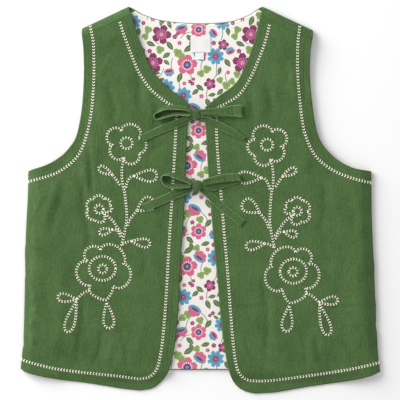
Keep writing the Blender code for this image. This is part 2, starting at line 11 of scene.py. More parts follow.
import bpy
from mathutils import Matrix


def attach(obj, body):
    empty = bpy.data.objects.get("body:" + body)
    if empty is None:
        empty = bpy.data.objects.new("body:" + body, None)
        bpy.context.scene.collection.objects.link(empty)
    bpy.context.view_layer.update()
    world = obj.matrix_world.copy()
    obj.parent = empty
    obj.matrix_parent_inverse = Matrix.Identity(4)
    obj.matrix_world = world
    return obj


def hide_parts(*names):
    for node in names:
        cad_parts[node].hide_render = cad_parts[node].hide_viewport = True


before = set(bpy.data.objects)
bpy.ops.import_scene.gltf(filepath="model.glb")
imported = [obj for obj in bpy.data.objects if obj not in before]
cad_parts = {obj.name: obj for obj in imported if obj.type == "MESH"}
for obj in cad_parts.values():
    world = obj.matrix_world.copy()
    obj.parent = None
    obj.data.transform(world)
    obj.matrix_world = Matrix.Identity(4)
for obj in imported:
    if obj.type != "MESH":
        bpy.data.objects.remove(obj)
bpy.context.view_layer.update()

# %% [markdown]
# ## Drafting helpers
#
# A pattern cutter works in millimetres on a flat table. So does this script: pieces are drawn
# as flat outlines, then carried to their place in space, and turned to metres at the last
# step. Smooth edges come from short tables of points joined by a Catmull-Rom curve, which
# passes through every point of its table.

# %% Units, curves and small helpers
import math

import bmesh
import bpy
import numpy as np
from mathutils import Vector
from mathutils.geometry import delaunay_2d_cdt
from mathutils.kdtree import KDTree

MM = 0.001


def smoothstep(share):
    held = np.clip(share, 0.0, 1.0)
    return held * held * (3.0 - 2.0 * held)


def smooth_curve(rows, step):
    """Points about step apart on a Catmull-Rom curve through the rows, ends included."""
    knots = np.array(rows, float)
    ends = np.vstack([2 * knots[0] - knots[1], knots, 2 * knots[-1] - knots[-2]])
    points = [knots[0]]
    for index in range(1, len(ends) - 2):
        before, start, end, after = ends[index - 1:index + 3]
        pieces = max(1, round(math.dist(start, end) / step))
        for share in np.arange(1, pieces + 1) / pieces:
            square = share * share
            cube = square * share
            points.append(0.5 * (2 * start + (end - before) * share
                                 + (2 * before - 5 * start + 4 * end - after) * square
                                 + (3 * start - before - 3 * end + after) * cube))
    return np.array(points)


def run_lengths(line):
    """Distance along a line at each of its points."""
    return np.concatenate([[0.0], np.cumsum(np.linalg.norm(np.diff(line, axis=0), axis=1))])


def evenly(line, pitch, margin=0.0):
    """Points pitch apart along a line, and the unit way that the line runs at each."""
    run = run_lengths(line)
    count = max(2, int((run[-1] - 2 * margin) / pitch) + 1)
    spare = (run[-1] - 2 * margin - (count - 1) * pitch) / 2
    at = margin + spare + pitch * np.arange(count)
    at = np.clip(at, 0.0, run[-1])

    def along(where):
        return np.stack([np.interp(where, run, line[:, axis]) for axis in range(line.shape[1])], axis=1)

    ways = along(np.minimum(at + 0.6, run[-1])) - along(np.maximum(at - 0.6, 0.0))
    return along(at), ways / np.linalg.norm(ways, axis=1)[:, None]


def distance_to(line, points):
    """Distance from each point to the nearest stretch of a line."""
    nearest = np.full(len(points), np.inf)
    for start, end in zip(line[:-1], line[1:]):
        run = end - start
        square = run @ run
        if square < 1e-9:
            continue
        share = np.clip((points - start) @ run / square, 0.0, 1.0)
        away = points - start - share[:, None] * run
        nearest = np.minimum(nearest, np.einsum("ij,ij->i", away, away))
    return np.sqrt(nearest)


print("one unit of the drafts is", MM, "m")

# %% Noise, colours and materials
def value_noise(x, y, wide, tall, seed):
    """Uneven relief from minus 1 to 1 in patches of that width and length."""
    table = np.random.default_rng(seed).uniform(-1.0, 1.0, (64, 64))
    column, row = x / wide + 200.0, y / tall + 200.0
    left, low = np.floor(column).astype(int), np.floor(row).astype(int)
    over, up = smoothstep(column - left), smoothstep(row - low)

    def corner(i, j):
        return table[(left + i) % 64, (low + j) % 64]

    bottom = corner(0, 0) * (1 - over) + corner(1, 0) * over
    top = corner(0, 1) * (1 - over) + corner(1, 1) * over
    return bottom * (1 - up) + top * up


def dye(red, green, blue):
    """A colour as painters and screens count it, from 0 to 255, in linear light."""
    shares = np.array([red, green, blue]) / 255.0
    linear = np.where(shares <= 0.04045, shares / 12.92, ((shares + 0.055) / 1.055) ** 2.4)
    return (*[float(part) for part in linear], 1.0)


def nothing_selected():
    if bpy.context.object and bpy.context.object.mode != "OBJECT":
        bpy.ops.object.mode_set(mode="OBJECT")
    bpy.ops.object.select_all(action="DESELECT")


def turned_by(x, y, angle):
    """A place on the table turned about the origin."""
    return x * math.cos(angle) - y * math.sin(angle), x * math.sin(angle) + y * math.cos(angle)


def new_material(name, **finish):
    """A material with those inputs set on its shader, then its node tree and the shader."""
    made = bpy.data.materials.new(name)
    made.use_nodes = True
    shader = made.node_tree.nodes["Principled BSDF"]
    for title, value in finish.items():
        shader.inputs[title.replace("_", " ")].default_value = value
    return made, made.node_tree, shader

# %% [markdown]
# ## Table, camera and light
#
# Clothes for a catalogue are laid on a white table and photographed from straight above with
# a long lens, so nothing leans. One large soft lamp stands at the upper left and the white
# room fills the rest. The table is a plane, resized, and isn't part of the garment. The
# camera's lens is worked out from how wide the view is at the table.

# %% Table
TABLE_SIZE = 8.0
TABLE_WHITE = (0.89, 0.89, 0.89, 1.0)

nothing_selected()
bpy.ops.mesh.primitive_plane_add(size=TABLE_SIZE, location=(0.0, 0.0, 0.0))
table = bpy.context.object
table.name = "table_top"
table.data.materials.append(new_material("white table", Base_Color=TABLE_WHITE, Roughness=0.9,
                                         Specular_IOR_Level=0.1)[0])
print("table", TABLE_SIZE, "m wide")

# %% Camera
VIEW_WIDTH = 0.420
VIEW_CENTRE = (-0.0005, 0.0)
CAMERA_HEIGHT = 2.6
SENSOR_WIDTH = 36.0
CLOTH_LEVEL = 0.006

lens_data = bpy.data.cameras.new("camera above the table")
lens_data.sensor_width = SENSOR_WIDTH
lens_data.lens = SENSOR_WIDTH * (CAMERA_HEIGHT - CLOTH_LEVEL) / VIEW_WIDTH
lens_data.clip_end = 20.0
camera = bpy.data.objects.new("camera above the table", lens_data)
camera.location = (*VIEW_CENTRE, CAMERA_HEIGHT)
bpy.context.scene.collection.objects.link(camera)
bpy.context.scene.camera = camera
print("lens", round(lens_data.lens, 1), "mm")

# %% Lights
KEY_PLACE = (-1.66, 1.08, 1.05)
KEY_SIZE = 1.75
KEY_POWER = 66.0
ROOM_STRENGTH = 0.64

lamp_data = bpy.data.lights.new("large soft lamp", "AREA")
lamp_data.shape = "SQUARE"
lamp_data.size = KEY_SIZE
lamp_data.energy = KEY_POWER
lamp = bpy.data.objects.new("large soft lamp", lamp_data)
lamp.location = KEY_PLACE
lamp.rotation_euler = (-Vector(KEY_PLACE)).to_track_quat("-Z", "Y").to_euler()
bpy.context.scene.collection.objects.link(lamp)
room = bpy.data.worlds.new("white room")
room.use_nodes = True
background = room.node_tree.nodes["Background"]
background.inputs["Color"].default_value = (1.0, 1.0, 1.0, 1.0)
background.inputs["Strength"].default_value = ROOM_STRENGTH
bpy.context.scene.world = room
bpy.context.scene.view_settings.view_transform = "Standard"
print("lamp", KEY_POWER, "W, room", ROOM_STRENGTH)

# %% [markdown]
# ## The cut
#
# Each table is one edge of the waistcoat as it lies, in millimetres from the middle of the
# view. The side and shoulder edges are folds: there the back wraps round to meet the fronts.
# The same tables cut the solids, so cloth and solids match.

# %% Walls, heights and the tables of the cut
WALL = 2.2
LINING_WALL = 0.8
TIE_WALL = 1.4
SEAM_GAP = 0.3
SEWN_GAP = 0.1
FOLD_RADIUS = 4.5
FOLD_TOP = 2 * FOLD_RADIUS
LINING_BASE = WALL + SEAM_GAP
LINING_TOP = LINING_BASE + LINING_WALL
FRONT_BASE = 4.1
FRONT_TOP = FRONT_BASE + WALL
SIDE_LOFT_REACH = 52.0
SHOULDER_LOFT_REACH = 46.0
BACK_HEM_Y = -178.5
HEM_DROP_START = 1.0
HEM_DROP_REACH = 13.0
BORDER_STEP = 2.0
SAME_POINT = 0.5

# Shoulder folds. Columns: armhole end x, y, neck end x, y, seam distance down the front
SHOULDERS = {
    "left": (-124.8, 180.5, -75.3, 203.8, 9),
    "right": (118.7, 178.5, 65.1, 203.8, 10.5),
}
# Side folds as seen from above. Columns: x, y
SIDES = {
    "left": [(-181, 30.6), (-181.8, 0), (-183.8, -40.2), (-185.1, -107.1), (-186.2, -145),
             (-188, -166), (-189, -177.5)],
    "right": [(179.7, 30.2), (180.3, -20.1), (182.9, -80.3), (185, -134), (187, -164),
              (189, -180.5)],
}
# Armholes of the fronts, shoulder seam to underarm. Columns: x, y
ARMHOLES = {
    "left": [(-124.1, 170.5), (-122.9, 156.5), (-122.6, 129.7), (-124.8, 96.2), (-130.2, 68),
             (-138.2, 54.6), (-147.6, 45.3), (-161, 37.3), (-181, 30.6)],
    "right": [(117.1, 167.5), (115.3, 153), (115, 129.7), (117.3, 102.9), (121.4, 76),
              (126.7, 61.3), (134.7, 50.6), (145.4, 41.3), (160.2, 33.8), (179.7, 30.2)],
}
# Neck edges of the fronts, shoulder seam to front corner. Columns: x, y
NECKS = {
    "left": [(-72.6, 195), (-69.9, 185.9), (-63.2, 165.8), (-51.1, 137.7), (-36.4, 120.2),
             (-20.4, 108.3), (-12.3, 101.5)],
    "right": [(62.9, 193.2), (60.6, 184), (55.8, 164.4), (47.7, 143), (37, 123),
              (19.5, 109.5), (4.8, 97.5)],
}
# Front edges with the round hem corner, neck corner to hem. Columns: x, y
FRONT_EDGES = {
    "left": [(-12.3, 101.5), (-12.3, 84.1), (-14.3, 62.7), (-16.4, 0), (-20.4, -60.3),
             (-23, -113.8), (-27.1, -154), (-32.4, -176.8), (-39.1, -188.8), (-49.8, -197.5),
             (-63.2, -200.4)],
    "right": [(4.8, 97.5), (5.5, 76), (8.2, 26.6), (13.5, -40.2), (17.5, -80.3),
              (20.9, -120.5), (24.9, -154), (30.2, -180.8), (37, -194.3), (46.3, -200.9),
              (57, -203.6)],
}
# Hems of the fronts, round corner to side. Columns: x, y
HEMS = {
    "left": [(-63.2, -200.4), (-83.3, -198.2), (-116.8, -192.9), (-143.5, -189.5),
             (-166.3, -185.5), (-183.8, -180.8), (-189, -177.5)],
    "right": [(57, -203.6), (79.8, -202.2), (106.6, -197.5), (133.5, -193.5), (160.2, -189.5),
              (177.6, -185.2), (189, -180.5)],
}
# Back neck edge, left shoulder to right. Columns: x, y
BACK_NECK = [(-61.3, 195.3), (-45.3, 189.9), (-25.2, 187), (-5, 185.9), (15, 186.2),
             (35.1, 188.6), (52.5, 195.3)]
NECK_FLARE = 3.0
BACK_ARMHOLE_INSET = 1.2
LINING_HOLE_INSET = 2.0
LINING_EDGE_INSET = 0.8
LINING_SIDE_TOP = 25.0
print("walls", WALL, "and", LINING_WALL, "mm, side folds", FOLD_TOP, "mm high")

# %% Where the folds lie
OUT = {"left": -1.0, "right": 1.0}
SIDE_LINES = {side: smooth_curve(rows, BORDER_STEP)[::-1] for side, rows in SIDES.items()}


def side_x(x, y):
    """How far out the side fold on this point's side lies at this height."""
    left, right = SIDE_LINES["left"], SIDE_LINES["right"]
    return np.where(x < 0, np.interp(y, left[:, 1], left[:, 0]), np.interp(y, right[:, 1], right[:, 0]))


def past_side(x, y):
    """Distance past the line where the cloth starts to bend round the side fold."""
    return np.abs(x) - (np.abs(side_x(x, y)) - FOLD_RADIUS)


def shoulder_frame(side):
    """Armhole end of the fold, the unit way along it to the neck, and the way outward."""
    arm_x, arm_y, neck_x, neck_y, down = SHOULDERS[side]
    along = np.array([neck_x - arm_x, neck_y - arm_y])
    along /= np.linalg.norm(along)
    outward = np.array([-along[1], along[0]])
    if outward[1] < 0:
        outward = -outward
    return np.array([arm_x, arm_y]), along, outward, down


def shoulder_outward(x):
    """The way out of the shoulder fold on each point's side."""
    return np.where((x < 0)[:, None], shoulder_frame("left")[2], shoulder_frame("right")[2])


def below_shoulder(x, y):
    """Distance of each point below the shoulder fold on its side."""
    corner = np.where((x < 0)[:, None], shoulder_frame("left")[0], shoulder_frame("right")[0])
    return -np.einsum("ij,ij->i", np.stack([x, y], axis=1) - corner, shoulder_outward(x))


for side in OUT:
    print(side, "side fold", len(SIDE_LINES[side]), "points, seam", SHOULDERS[side][4], "mm down the front")

# %% [markdown]
# ## How the cloth lies
#
# Washed cotton never lies like a board. The panels crown a little away from their edges,
# they press flat at the folds, and soft ridges and troughs run down them, longest and deepest
# under the arms and where the bows pull. A cloth simulation would give folds somewhere, but
# not these. So each crease is one row of a table, placed with its own width and height, and a
# low uneven relief keeps the rows from looking ruled.

# %% Creases of the fronts
# Columns of both: from x, y, to x, y, half width, height. The first table is also in the solids
SOLID_FOLDS = [
    (-119, 64, -110, 20, 7, 1.5), (-54, 122, -43, 84, 8, 1.1), (-166, 26, -179, -22, 6, 0.9),
    (-130, -118, -126, -170, 7, 1.1), (-79, -135, -77, -176, 8, 1), (-60, 40, -66, -60, 9, -0.4),
    (-100, -40, -104, -120, 9, -0.4), (112, 70, 104, 24, 7, 1.3), (52, 118, 44, 70, 8, 1),
    (166, 22, 176, -28, 6, 0.9), (128, -112, 132, -168, 7, 1.1), (86, -140, 88, -180, 8, 1),
    (66, 36, 70, -66, 9, -0.4), (104, -36, 108, -112, 9, -0.4),
]
CREASES = [
    (-119, 56, -112, 4, 2.6, -1.5), (-124, 50, -118, 8, 3.6, 0.6), (-121, -8, -117, -56, 3.4, -1),
    (-125, 22, -121, -20, 3, -0.9), (-144, 24, -156, -44, 4.5, -0.7), (-150, 26, -164, -34, 4.5, 0.6),
    (-160, 12, -182, -26, 1.5, 0.45), (-172, 20, -186, -6, 3, -0.4), (-96, 124, -90, 84, 3.6, -0.9),
    (-104, 112, -98, 70, 5, 0.6), (-69, 138, -60, 98, 4, -0.9), (-78, 134, -72, 92, 5, 0.6),
    (-50, 108, -43, 66, 4, -1), (-90, 162, -108, 126, 1.8, 0.4), (-86, 170, -100, 140, 4, -0.4),
    (-125, -100, -122, -144, 3.4, -0.9), (-131, -136, -125, -172, 3.2, -0.8),
    (-102, -134, -111, -174, 3, -0.7), (-94, -140, -96, -176, 4, 0.6), (-83, -134, -77, -176, 3, -0.8),
    (-62, -120, -66, -176, 5, 0.5), (-58, -46, -60, -82, 3.6, -0.6), (-48, -6, -32, -42, 2.8, -0.6),
    (-54, 4, -40, -30, 3.4, 0.4), (-46, -60, -44, -120, 5, 0.4), (-36, 60, -58, 44, 3.5, -0.5),
    (-142, -60, -146, -128, 6, 0.5), (-160, -70, -158, -140, 5, -0.4), (-170, -112, -182, -120, 2.2, 0.35),
    (-150, -132, -154, -170, 5, 0.4), (54, 124, 52, 84, 4, -1), (62, 122, 62, 76, 5, 0.6),
    (68, 130, 76, 86, 3, -0.7), (76, 140, 84, 96, 4, 0.5), (87, 150, 94, 120, 3, -0.6),
    (97, 136, 100, 104, 3.6, 0.5), (106, 130, 110, 100, 3, -0.8), (30, 104, 38, 76, 3.6, -0.7),
    (108, 40, 118, 12, 4, 0.5), (131, 22, 128, -34, 4, -0.8), (142, 24, 146, -40, 5, 0.5),
    (156, 16, 162, -40, 4, -0.5), (122, -113, 168, -111, 1.6, -0.55), (120, -109.5, 168, -107.5, 2.4, 0.3),
    (34, -113, 70, -111, 1.6, -0.5), (34, -109.5, 70, -107.5, 2.4, 0.3), (67, -84, 70, -130, 3.2, -0.8),
    (70, -124, 70, -174, 3, -0.8), (78, -100, 80, -170, 4.4, 0.5), (58, -96, 60, -150, 4.4, 0.4),
    (106, -140, 112, -176, 2.8, -0.8), (116, -140, 119, -176, 3.6, 0.5), (122, -140, 127, -176, 2.8, -0.6),
    (149, -144, 162, -170, 3, -0.8), (47, -142, 60, -174, 3.2, -0.7), (183, -16, 180, -48, 3, -0.4),
    (150, -50, 146, -100, 6, -0.4), (138, -60, 136, -120, 6, 0.4), (166, -60, 168, -130, 5, 0.4),
    (-182, 4, -168, -12, 1.8, 0.5), (-184, -30, -172, -44, 1.8, 0.45), (-184, -62, -173, -82, 2, 0.4),
]
CREASE_STRENGTH = 1.55
# Small wrinkles that run over the side folds, in pattern places
SIDE_WRINKLES = [
    (-187, -46, -184, -64, 6, 0.4), (-189, -78, -180, -80.5, 2.4, -0.55),
    (-182.6, -78.5, -175.6, -97.5, 1.5, 1.15), (-183, -97, -168.4, -124.5, 2.2, 0.95),
    (-175.6, -122.5, -183, -137.5, 1.5, 1.1), (-183.4, -136.5, -175.4, -153, 1.5, 1.25),
    (-191, -150.5, -182, -153.5, 2.4, -0.7), (-180, 8, -170, -6, 1.6, 0.35),
    (186, -62, 178, -76, 1.8, 0.45), (188, -104, 176, -122, 2, 0.55), (189, -128, 181, -130, 2.4, -0.5),
    (187, -136, 179, -152, 1.6, 0.55),
]
print("creases", len(SOLID_FOLDS) + len(CREASES), "side wrinkles", len(SIDE_WRINKLES))

# %% Height of the fronts
FOLD_TAPER = 2.5
FOLD_OVERRUN = 0.25
CREASE_WANDER = 0.45
CREASE_WAVES = 5.0
CREASE_EASE = 9.0
CREASE_AT_EDGE = 0.25
CREASE_CLEAR = 5.0
CROWN_HEIGHT = 3.4
CROWN_RISE = 13.0
CROWN_REACH = 100.0
CROWN_EDGE = 34.0
CROWN_FOOT_Y = -178.0
CROWN_FOOT_REACH = 40.0
FOLD_PRESS = 0.30
SIDE_PRESS_REACH = 12.0
LEE_SLOPE = 3.0
SEAM_EASE = 16.0
LOWEST_INNER = LINING_TOP + SEAM_GAP


def crease_height(rows, x, y, lee=1.0):
    """Height that a table of soft creases adds at each point. Lee widens their right slope."""
    total = np.zeros(len(x))
    for from_x, from_y, to_x, to_y, half_width, height in rows:
        run_x, run_y = to_x - from_x, to_y - from_y
        length = math.hypot(run_x, run_y)
        offset_x, offset_y = x - from_x, y - from_y
        share = (offset_x * run_x + offset_y * run_y) / length ** 2
        away = (offset_x * run_y - offset_y * run_x) / length
        away = away + CREASE_WANDER * half_width * np.sin(share * CREASE_WAVES + from_x)
        taper = smoothstep(np.minimum(share, 1.0 - share) * FOLD_TAPER + FOLD_OVERRUN)
        total += height * taper * np.exp(-(away / half_width / np.where(away > 0.0, 1.0, lee)) ** 2)
    return total


def uneven(x, y):
    """Low relief of washed cotton, longer down the cloth than across it."""
    return (0.36 * value_noise(x, y, 17.0, 46.0, 11)
            + 0.20 * value_noise(x + 0.25 * y, y, 7.0, 22.0, 12)
            + 0.09 * value_noise(x - 0.4 * y, y, 4.2, 9.0, 13))


def seam_drop(x):
    """How far the shoulder seam lies down the front on each point's side."""
    return np.where(x < 0, SHOULDERS["left"][4], SHOULDERS["right"][4])


def press(x, y):
    """How far the cloth is pressed down near the folds, as a share of its height."""
    from_side = -past_side(x, y) + FOLD_RADIUS
    side_part = 1.0 - smoothstep(from_side / SIDE_PRESS_REACH)
    shoulder_part = 1.0 - smoothstep(below_shoulder(x, y) / seam_drop(x))
    return 1.0 - FOLD_PRESS * np.maximum(side_part, shoulder_part)


def front_height(x, y, edge_distance):
    """Height of a front's outer face before its edges are rolled and stitched."""
    from_side = np.maximum(-past_side(x, y), 0.0)
    near_side = 1.0 - smoothstep(from_side / SIDE_LOFT_REACH)
    below_seam = below_shoulder(x, y) - seam_drop(x)
    near_shoulder = 1.0 - smoothstep(below_seam / SHOULDER_LOFT_REACH)
    lift = np.maximum(near_side, near_shoulder)
    off_back = smoothstep((BACK_HEM_Y - HEM_DROP_START - y) / HEM_DROP_REACH) * (1.0 - near_side)
    crown = CROWN_HEIGHT * (1.0 - np.exp(-from_side / CROWN_RISE)) * np.exp(-(from_side / CROWN_REACH) ** 2)
    crown *= smoothstep(edge_distance / CROWN_EDGE) * smoothstep((y - CROWN_FOOT_Y) / CROWN_FOOT_REACH)
    clear = CREASE_AT_EDGE + (1.0 - CREASE_AT_EDGE) * smoothstep(edge_distance / CREASE_EASE)
    clear *= smoothstep(from_side / CREASE_CLEAR)
    shape = crease_height(SOLID_FOLDS, x, y) * (1.0 - lift) + crown
    shape += (CREASE_STRENGTH * crease_height(CREASES, x, y) + uneven(x, y)) * clear
    shape *= smoothstep(below_seam / SEAM_EASE)
    return FRONT_TOP + (FOLD_TOP - FRONT_TOP) * lift + shape * (1.0 - off_back) - FRONT_BASE * off_back

# %% [markdown]
# ## Folded and flat
#
# A point of the flat pattern becomes a point in space by one rule: on the flat it keeps its
# place and gets the height of the cloth there, and past a fold line it goes round a half
# circle. The same rule carries the outer face, the inner face and later every stitch, which
# only lies a little further out. That is why the stitches follow each crease.

# %% From the pattern to space
def bend(start_x, start_y, way_x, way_y, past, depth):
    """Round a fold: plan place and height above the lowest layer."""
    turn = np.minimum(past / FOLD_RADIUS, math.pi)
    flat = np.maximum(past - math.pi * FOLD_RADIUS, 0.0)
    radius = FOLD_RADIUS - depth
    reach = radius * np.sin(turn) - flat
    return start_x + way_x * reach, start_y + way_y * reach, FOLD_RADIUS - radius * np.cos(turn)


OVER_LINING = 4.0


def place_front(points, depth, edge_distance):
    """Pattern points of a front in space, in millimetres. Depth is measured in from its face."""
    x, y = points.T
    past = past_side(x, y)
    out = np.where(x < 0, -1.0, 1.0)
    beyond = np.maximum(past, 0.0)
    depth = depth - crease_height(SIDE_WRINKLES, x, y, LEE_SLOPE)
    bent_x, bent_y, height = bend(x - out * beyond, y, out, 0.0, beyond, depth)
    over_lining = 1.0 - smoothstep((BACK_HEM_Y - y + OVER_LINING) / HEM_DROP_REACH)
    flat_z = np.maximum(front_height(x, y, edge_distance) - depth,
                        (WALL - depth) + LOWEST_INNER * over_lining)
    bends = past > 0.0
    plan_x = np.where(bends, bent_x, x)
    z = np.where(bends, FOLD_TOP - height, flat_z) * press(plan_x, y)
    return np.stack([plan_x, np.where(bends, bent_y, y), z], axis=1)


def place_back(points, depth, edge_distance):
    """Pattern points of the back in space. Its outer face is the one that it lies on."""
    x, y = points.T
    out = np.where(x < 0, -1.0, 1.0)
    past = past_side(x, y)
    beyond = np.maximum(past, 0.0)
    wrinkle = crease_height(SIDE_WRINKLES, x, y, LEE_SLOPE) * smoothstep(beyond / FOLD_RADIUS)
    side_place = bend(x - out * beyond, y, out, 0.0, beyond, depth - wrinkle)
    way_x, way_y = shoulder_outward(x).T
    over = FOLD_RADIUS - below_shoulder(x, y)
    lap = np.maximum(over, 0.0)
    shoulder_place = bend(x - way_x * lap, y - way_y * lap, way_x, way_y, lap, depth)
    placed = [np.where(past > 0.0, at_side, np.where(over > 0.0, at_shoulder, flat))
              for at_side, at_shoulder, flat in zip(side_place, shoulder_place, (x, y, depth))]
    placed[2] = placed[2] * press(placed[0], placed[1])
    return np.stack(placed, axis=1)


LINING_EASE = 12.0


def place_lining(points, depth, edge_distance):
    """Pattern points of the lining in space, a little uneven away from its edges."""
    x, y = points.T
    relief = 0.12 * value_noise(x, y, 22.0, 38.0, 21) + 0.06 * value_noise(x, y, 6.0, 15.0, 22)
    return np.stack([x, y, LINING_TOP - depth + relief * smoothstep(edge_distance / LINING_EASE)], axis=1)


print("half circle", round(math.pi * FOLD_RADIUS, 1), "mm round each fold")

# %% Outlines of the pieces
def joined(*stretches):
    """One closed outline from stretches that follow each other, without doubled corners."""
    points = []
    for stretch in stretches:
        for point in stretch:
            if not points or math.dist(points[-1], point) > SAME_POINT:
                points.append(tuple(float(part) for part in point))
    if math.dist(points[0], points[-1]) < SAME_POINT:
        points.pop()
    return np.array(points)


def seam_line(side):
    """Pattern points of a side edge: the fold's outline let out by what bends under."""
    inner_turn = FOLD_RADIUS / (FOLD_RADIUS - WALL)
    let_out = FOLD_RADIUS * (math.pi / 2 - 1) - inner_turn * SEWN_GAP / 2
    points = smooth_curve(SIDES[side], BORDER_STEP)
    points[:, 0] = side_x(points[:, 0], points[:, 1]) + OUT[side] * let_out
    return points


def seam_end(side, point):
    """The point moved square to the shoulder seam until it is one sewn gap below it."""
    outward, down = shoulder_frame(side)[2:]
    below = below_shoulder(np.array([point[0]]), np.array([point[1]]))[0]
    return np.array(point) + outward * (below - down - SEWN_GAP)


def front_edges(side):
    """Named stretches of a front's outline, each as a line."""
    armhole = [seam_end(side, ARMHOLES[side][0]), *ARMHOLES[side][1:]]
    neck = [seam_end(side, NECKS[side][0]), *NECKS[side][1:]]
    return {
        "shoulder": smooth_curve([armhole[0], neck[0]], BORDER_STEP),
        "neck": smooth_curve(neck, BORDER_STEP),
        "front": smooth_curve(FRONT_EDGES[side], BORDER_STEP),
        "hem": smooth_curve(HEMS[side], BORDER_STEP)[:-1],
        "side": seam_line(side)[::-1],
        "armhole": smooth_curve(armhole, BORDER_STEP)[::-1],
    }


BEND_ROWS = 13
BEND_OVERRUN = 1.2
LINING_SIDE_POINTS = 100

# %% Outlines of the back and its lining
def shoulder_strip(side):
    """Pattern points of the back's shoulder: the armhole end, the neck end, rows on the bend."""
    corner, along, outward, down = shoulder_frame(side)
    length = np.linalg.norm(np.array(SHOULDERS[side][2:4]) - corner)
    whole_turn = math.pi * FOLD_RADIUS
    reach = whole_turn + down - FOLD_RADIUS
    seam_neck = float((np.array(NECKS[side][0]) - corner) @ along)
    seam_arm = float((np.array(ARMHOLES[side][0]) - corner) @ along)
    start = corner - outward * FOLD_RADIUS

    def point(a, b):
        return start + along * a + outward * b

    arm_end = [point(seam_arm / 2, 0.0), point(0.0, whole_turn / 2), point(seam_arm, reach)]
    neck_end = [point(seam_neck, reach), point(length, whole_turn / 2), point(length + NECK_FLARE, 0.0)]
    rows = [point(a, b) for b in np.linspace(-BEND_OVERRUN, whole_turn + BEND_OVERRUN, BEND_ROWS)
            for a in np.arange(BORDER_STEP, length, BORDER_STEP)]
    return arm_end, neck_end, np.array(rows)


def moved_rows(rows, x, y):
    """Points of a table moved by that much."""
    return [(point_x + x, point_y + y) for point_x, point_y in rows]


def back_armhole(side):
    """Pattern points of the back's armhole, a little inside the front's, without the underarm."""
    return moved_rows(ARMHOLES[side][:-1], -OUT[side] * BACK_ARMHOLE_INSET, -BACK_ARMHOLE_INSET)


def back_edges():
    """Named stretches of the back's outline, and extra rows where the shoulders bend."""
    arms, necks, rows = zip(*map(shoulder_strip, OUT))
    sides = [seam_line(side) for side in OUT]
    holes = [smooth_curve([*back_armhole(side), ARMHOLES[side][-1]], BORDER_STEP) for side in OUT]
    above_hem = [line[line[:, 1] > BACK_HEM_Y + 1.0] for line in sides]
    edges = {
        "hem": smooth_curve([(line[-1][0], BACK_HEM_Y) for line in sides], BORDER_STEP),
        "right_side": above_hem[1][::-1],
        "right_armhole": holes[1][::-1],
        "right_arm_end": smooth_curve(arms[1], BORDER_STEP),
        "right_seam": smooth_curve([arms[1][-1], necks[1][0]], BORDER_STEP),
        "right_neck_end": smooth_curve(necks[1], BORDER_STEP),
        "neck": smooth_curve(BACK_NECK, BORDER_STEP)[::-1],
        "left_neck_end": smooth_curve(necks[0][::-1], BORDER_STEP),
        "left_seam": smooth_curve([necks[0][0], arms[0][-1]], BORDER_STEP),
        "left_arm_end": smooth_curve(arms[0][::-1], BORDER_STEP),
        "left_armhole": holes[0],
        "left_side": above_hem[0],
    }
    return edges, np.vstack(rows)


def lining_edges():
    """The lining's outline: the flat of the back, short of its folds and edges."""
    heights = np.linspace(BACK_HEM_Y + LINING_EDGE_INSET, LINING_SIDE_TOP, LINING_SIDE_POINTS)
    sides, holes, ends = {}, {}, {}
    for side, out in OUT.items():
        x = side_x(np.full(LINING_SIDE_POINTS, out), heights) - out * (FOLD_RADIUS + SEAM_GAP)
        sides[side] = np.stack([x, heights], axis=1)
        rows = moved_rows(back_armhole(side), -out * LINING_HOLE_INSET, -LINING_HOLE_INSET)
        holes[side] = smooth_curve(rows, BORDER_STEP)
        arm, neck, _ = shoulder_strip(side)
        outward = shoulder_frame(side)[2]
        ends[side] = [arm[0] - outward - (out * LINING_HOLE_INSET, 0.0),
                      neck[-1] - outward + (out * LINING_EDGE_INSET, 0.0)]
    return {
        "hem": smooth_curve([sides["left"][0], sides["right"][0]], BORDER_STEP),
        "right_side": sides["right"],
        "right_hole": holes["right"][::-1],
        "right_shoulder": smooth_curve(ends["right"], BORDER_STEP),
        "neck": smooth_curve(moved_rows(BACK_NECK, 0.0, -LINING_EDGE_INSET), BORDER_STEP)[::-1],
        "left_shoulder": smooth_curve(ends["left"][::-1], BORDER_STEP),
        "left_hole": holes["left"],
        "left_side": sides["left"][::-1],
    }


FRONT_LINES = {side: front_edges(side) for side in OUT}
BACK_LINES, SHOULDER_ROWS = back_edges()
LINING_LINES = lining_edges()
for name, lines in (("left front", FRONT_LINES["left"]), ("back", BACK_LINES), ("lining", LINING_LINES)):
    print(name, {edge: round(float(run_lengths(line)[-1])) for edge, line in lines.items()})

# %% [markdown]
# ## From an outline to cloth
#
# A flat outline becomes cloth in three steps. First it is filled with points: rings close to
# the edge, where the cloth is rolled and stitched, and an even lattice inside. Then a Delaunay
# triangulation joins them, which keeps the triangles well shaped. Last, every point is placed
# twice, once for the outer face and once for the inner, and the rim joins the two. Solidify
# would do the last step too, but the rim of turned and stitched cloth isn't square.

# %% Filling an outline with triangles
RINGS = (0.15, 0.5, 1.0, 1.7, 2.4, 3.0, 3.6, 4.4, 5.2, 5.9, 6.6, 7.6)


def signed_area(points):
    x, y = points.T
    return 0.5 * float(np.sum(x * np.roll(y, -1) - np.roll(x, -1) * y))


def moved_in(outline, distance):
    """The outline moved inward, corner by corner."""
    before = outline - np.roll(outline, 1, axis=0)
    after = np.roll(outline, -1, axis=0) - outline
    before /= np.linalg.norm(before, axis=1)[:, None]
    after /= np.linalg.norm(after, axis=1)[:, None]
    way = before + after
    way /= np.linalg.norm(way, axis=1)[:, None]
    turn = 1.0 if signed_area(outline) > 0 else -1.0
    inward = np.stack([-way[:, 1], way[:, 0]], axis=1) * turn
    spread = np.clip(np.einsum("ij,ij->i", way, after), 0.5, 1.0)[:, None]
    return outline + inward * distance / spread


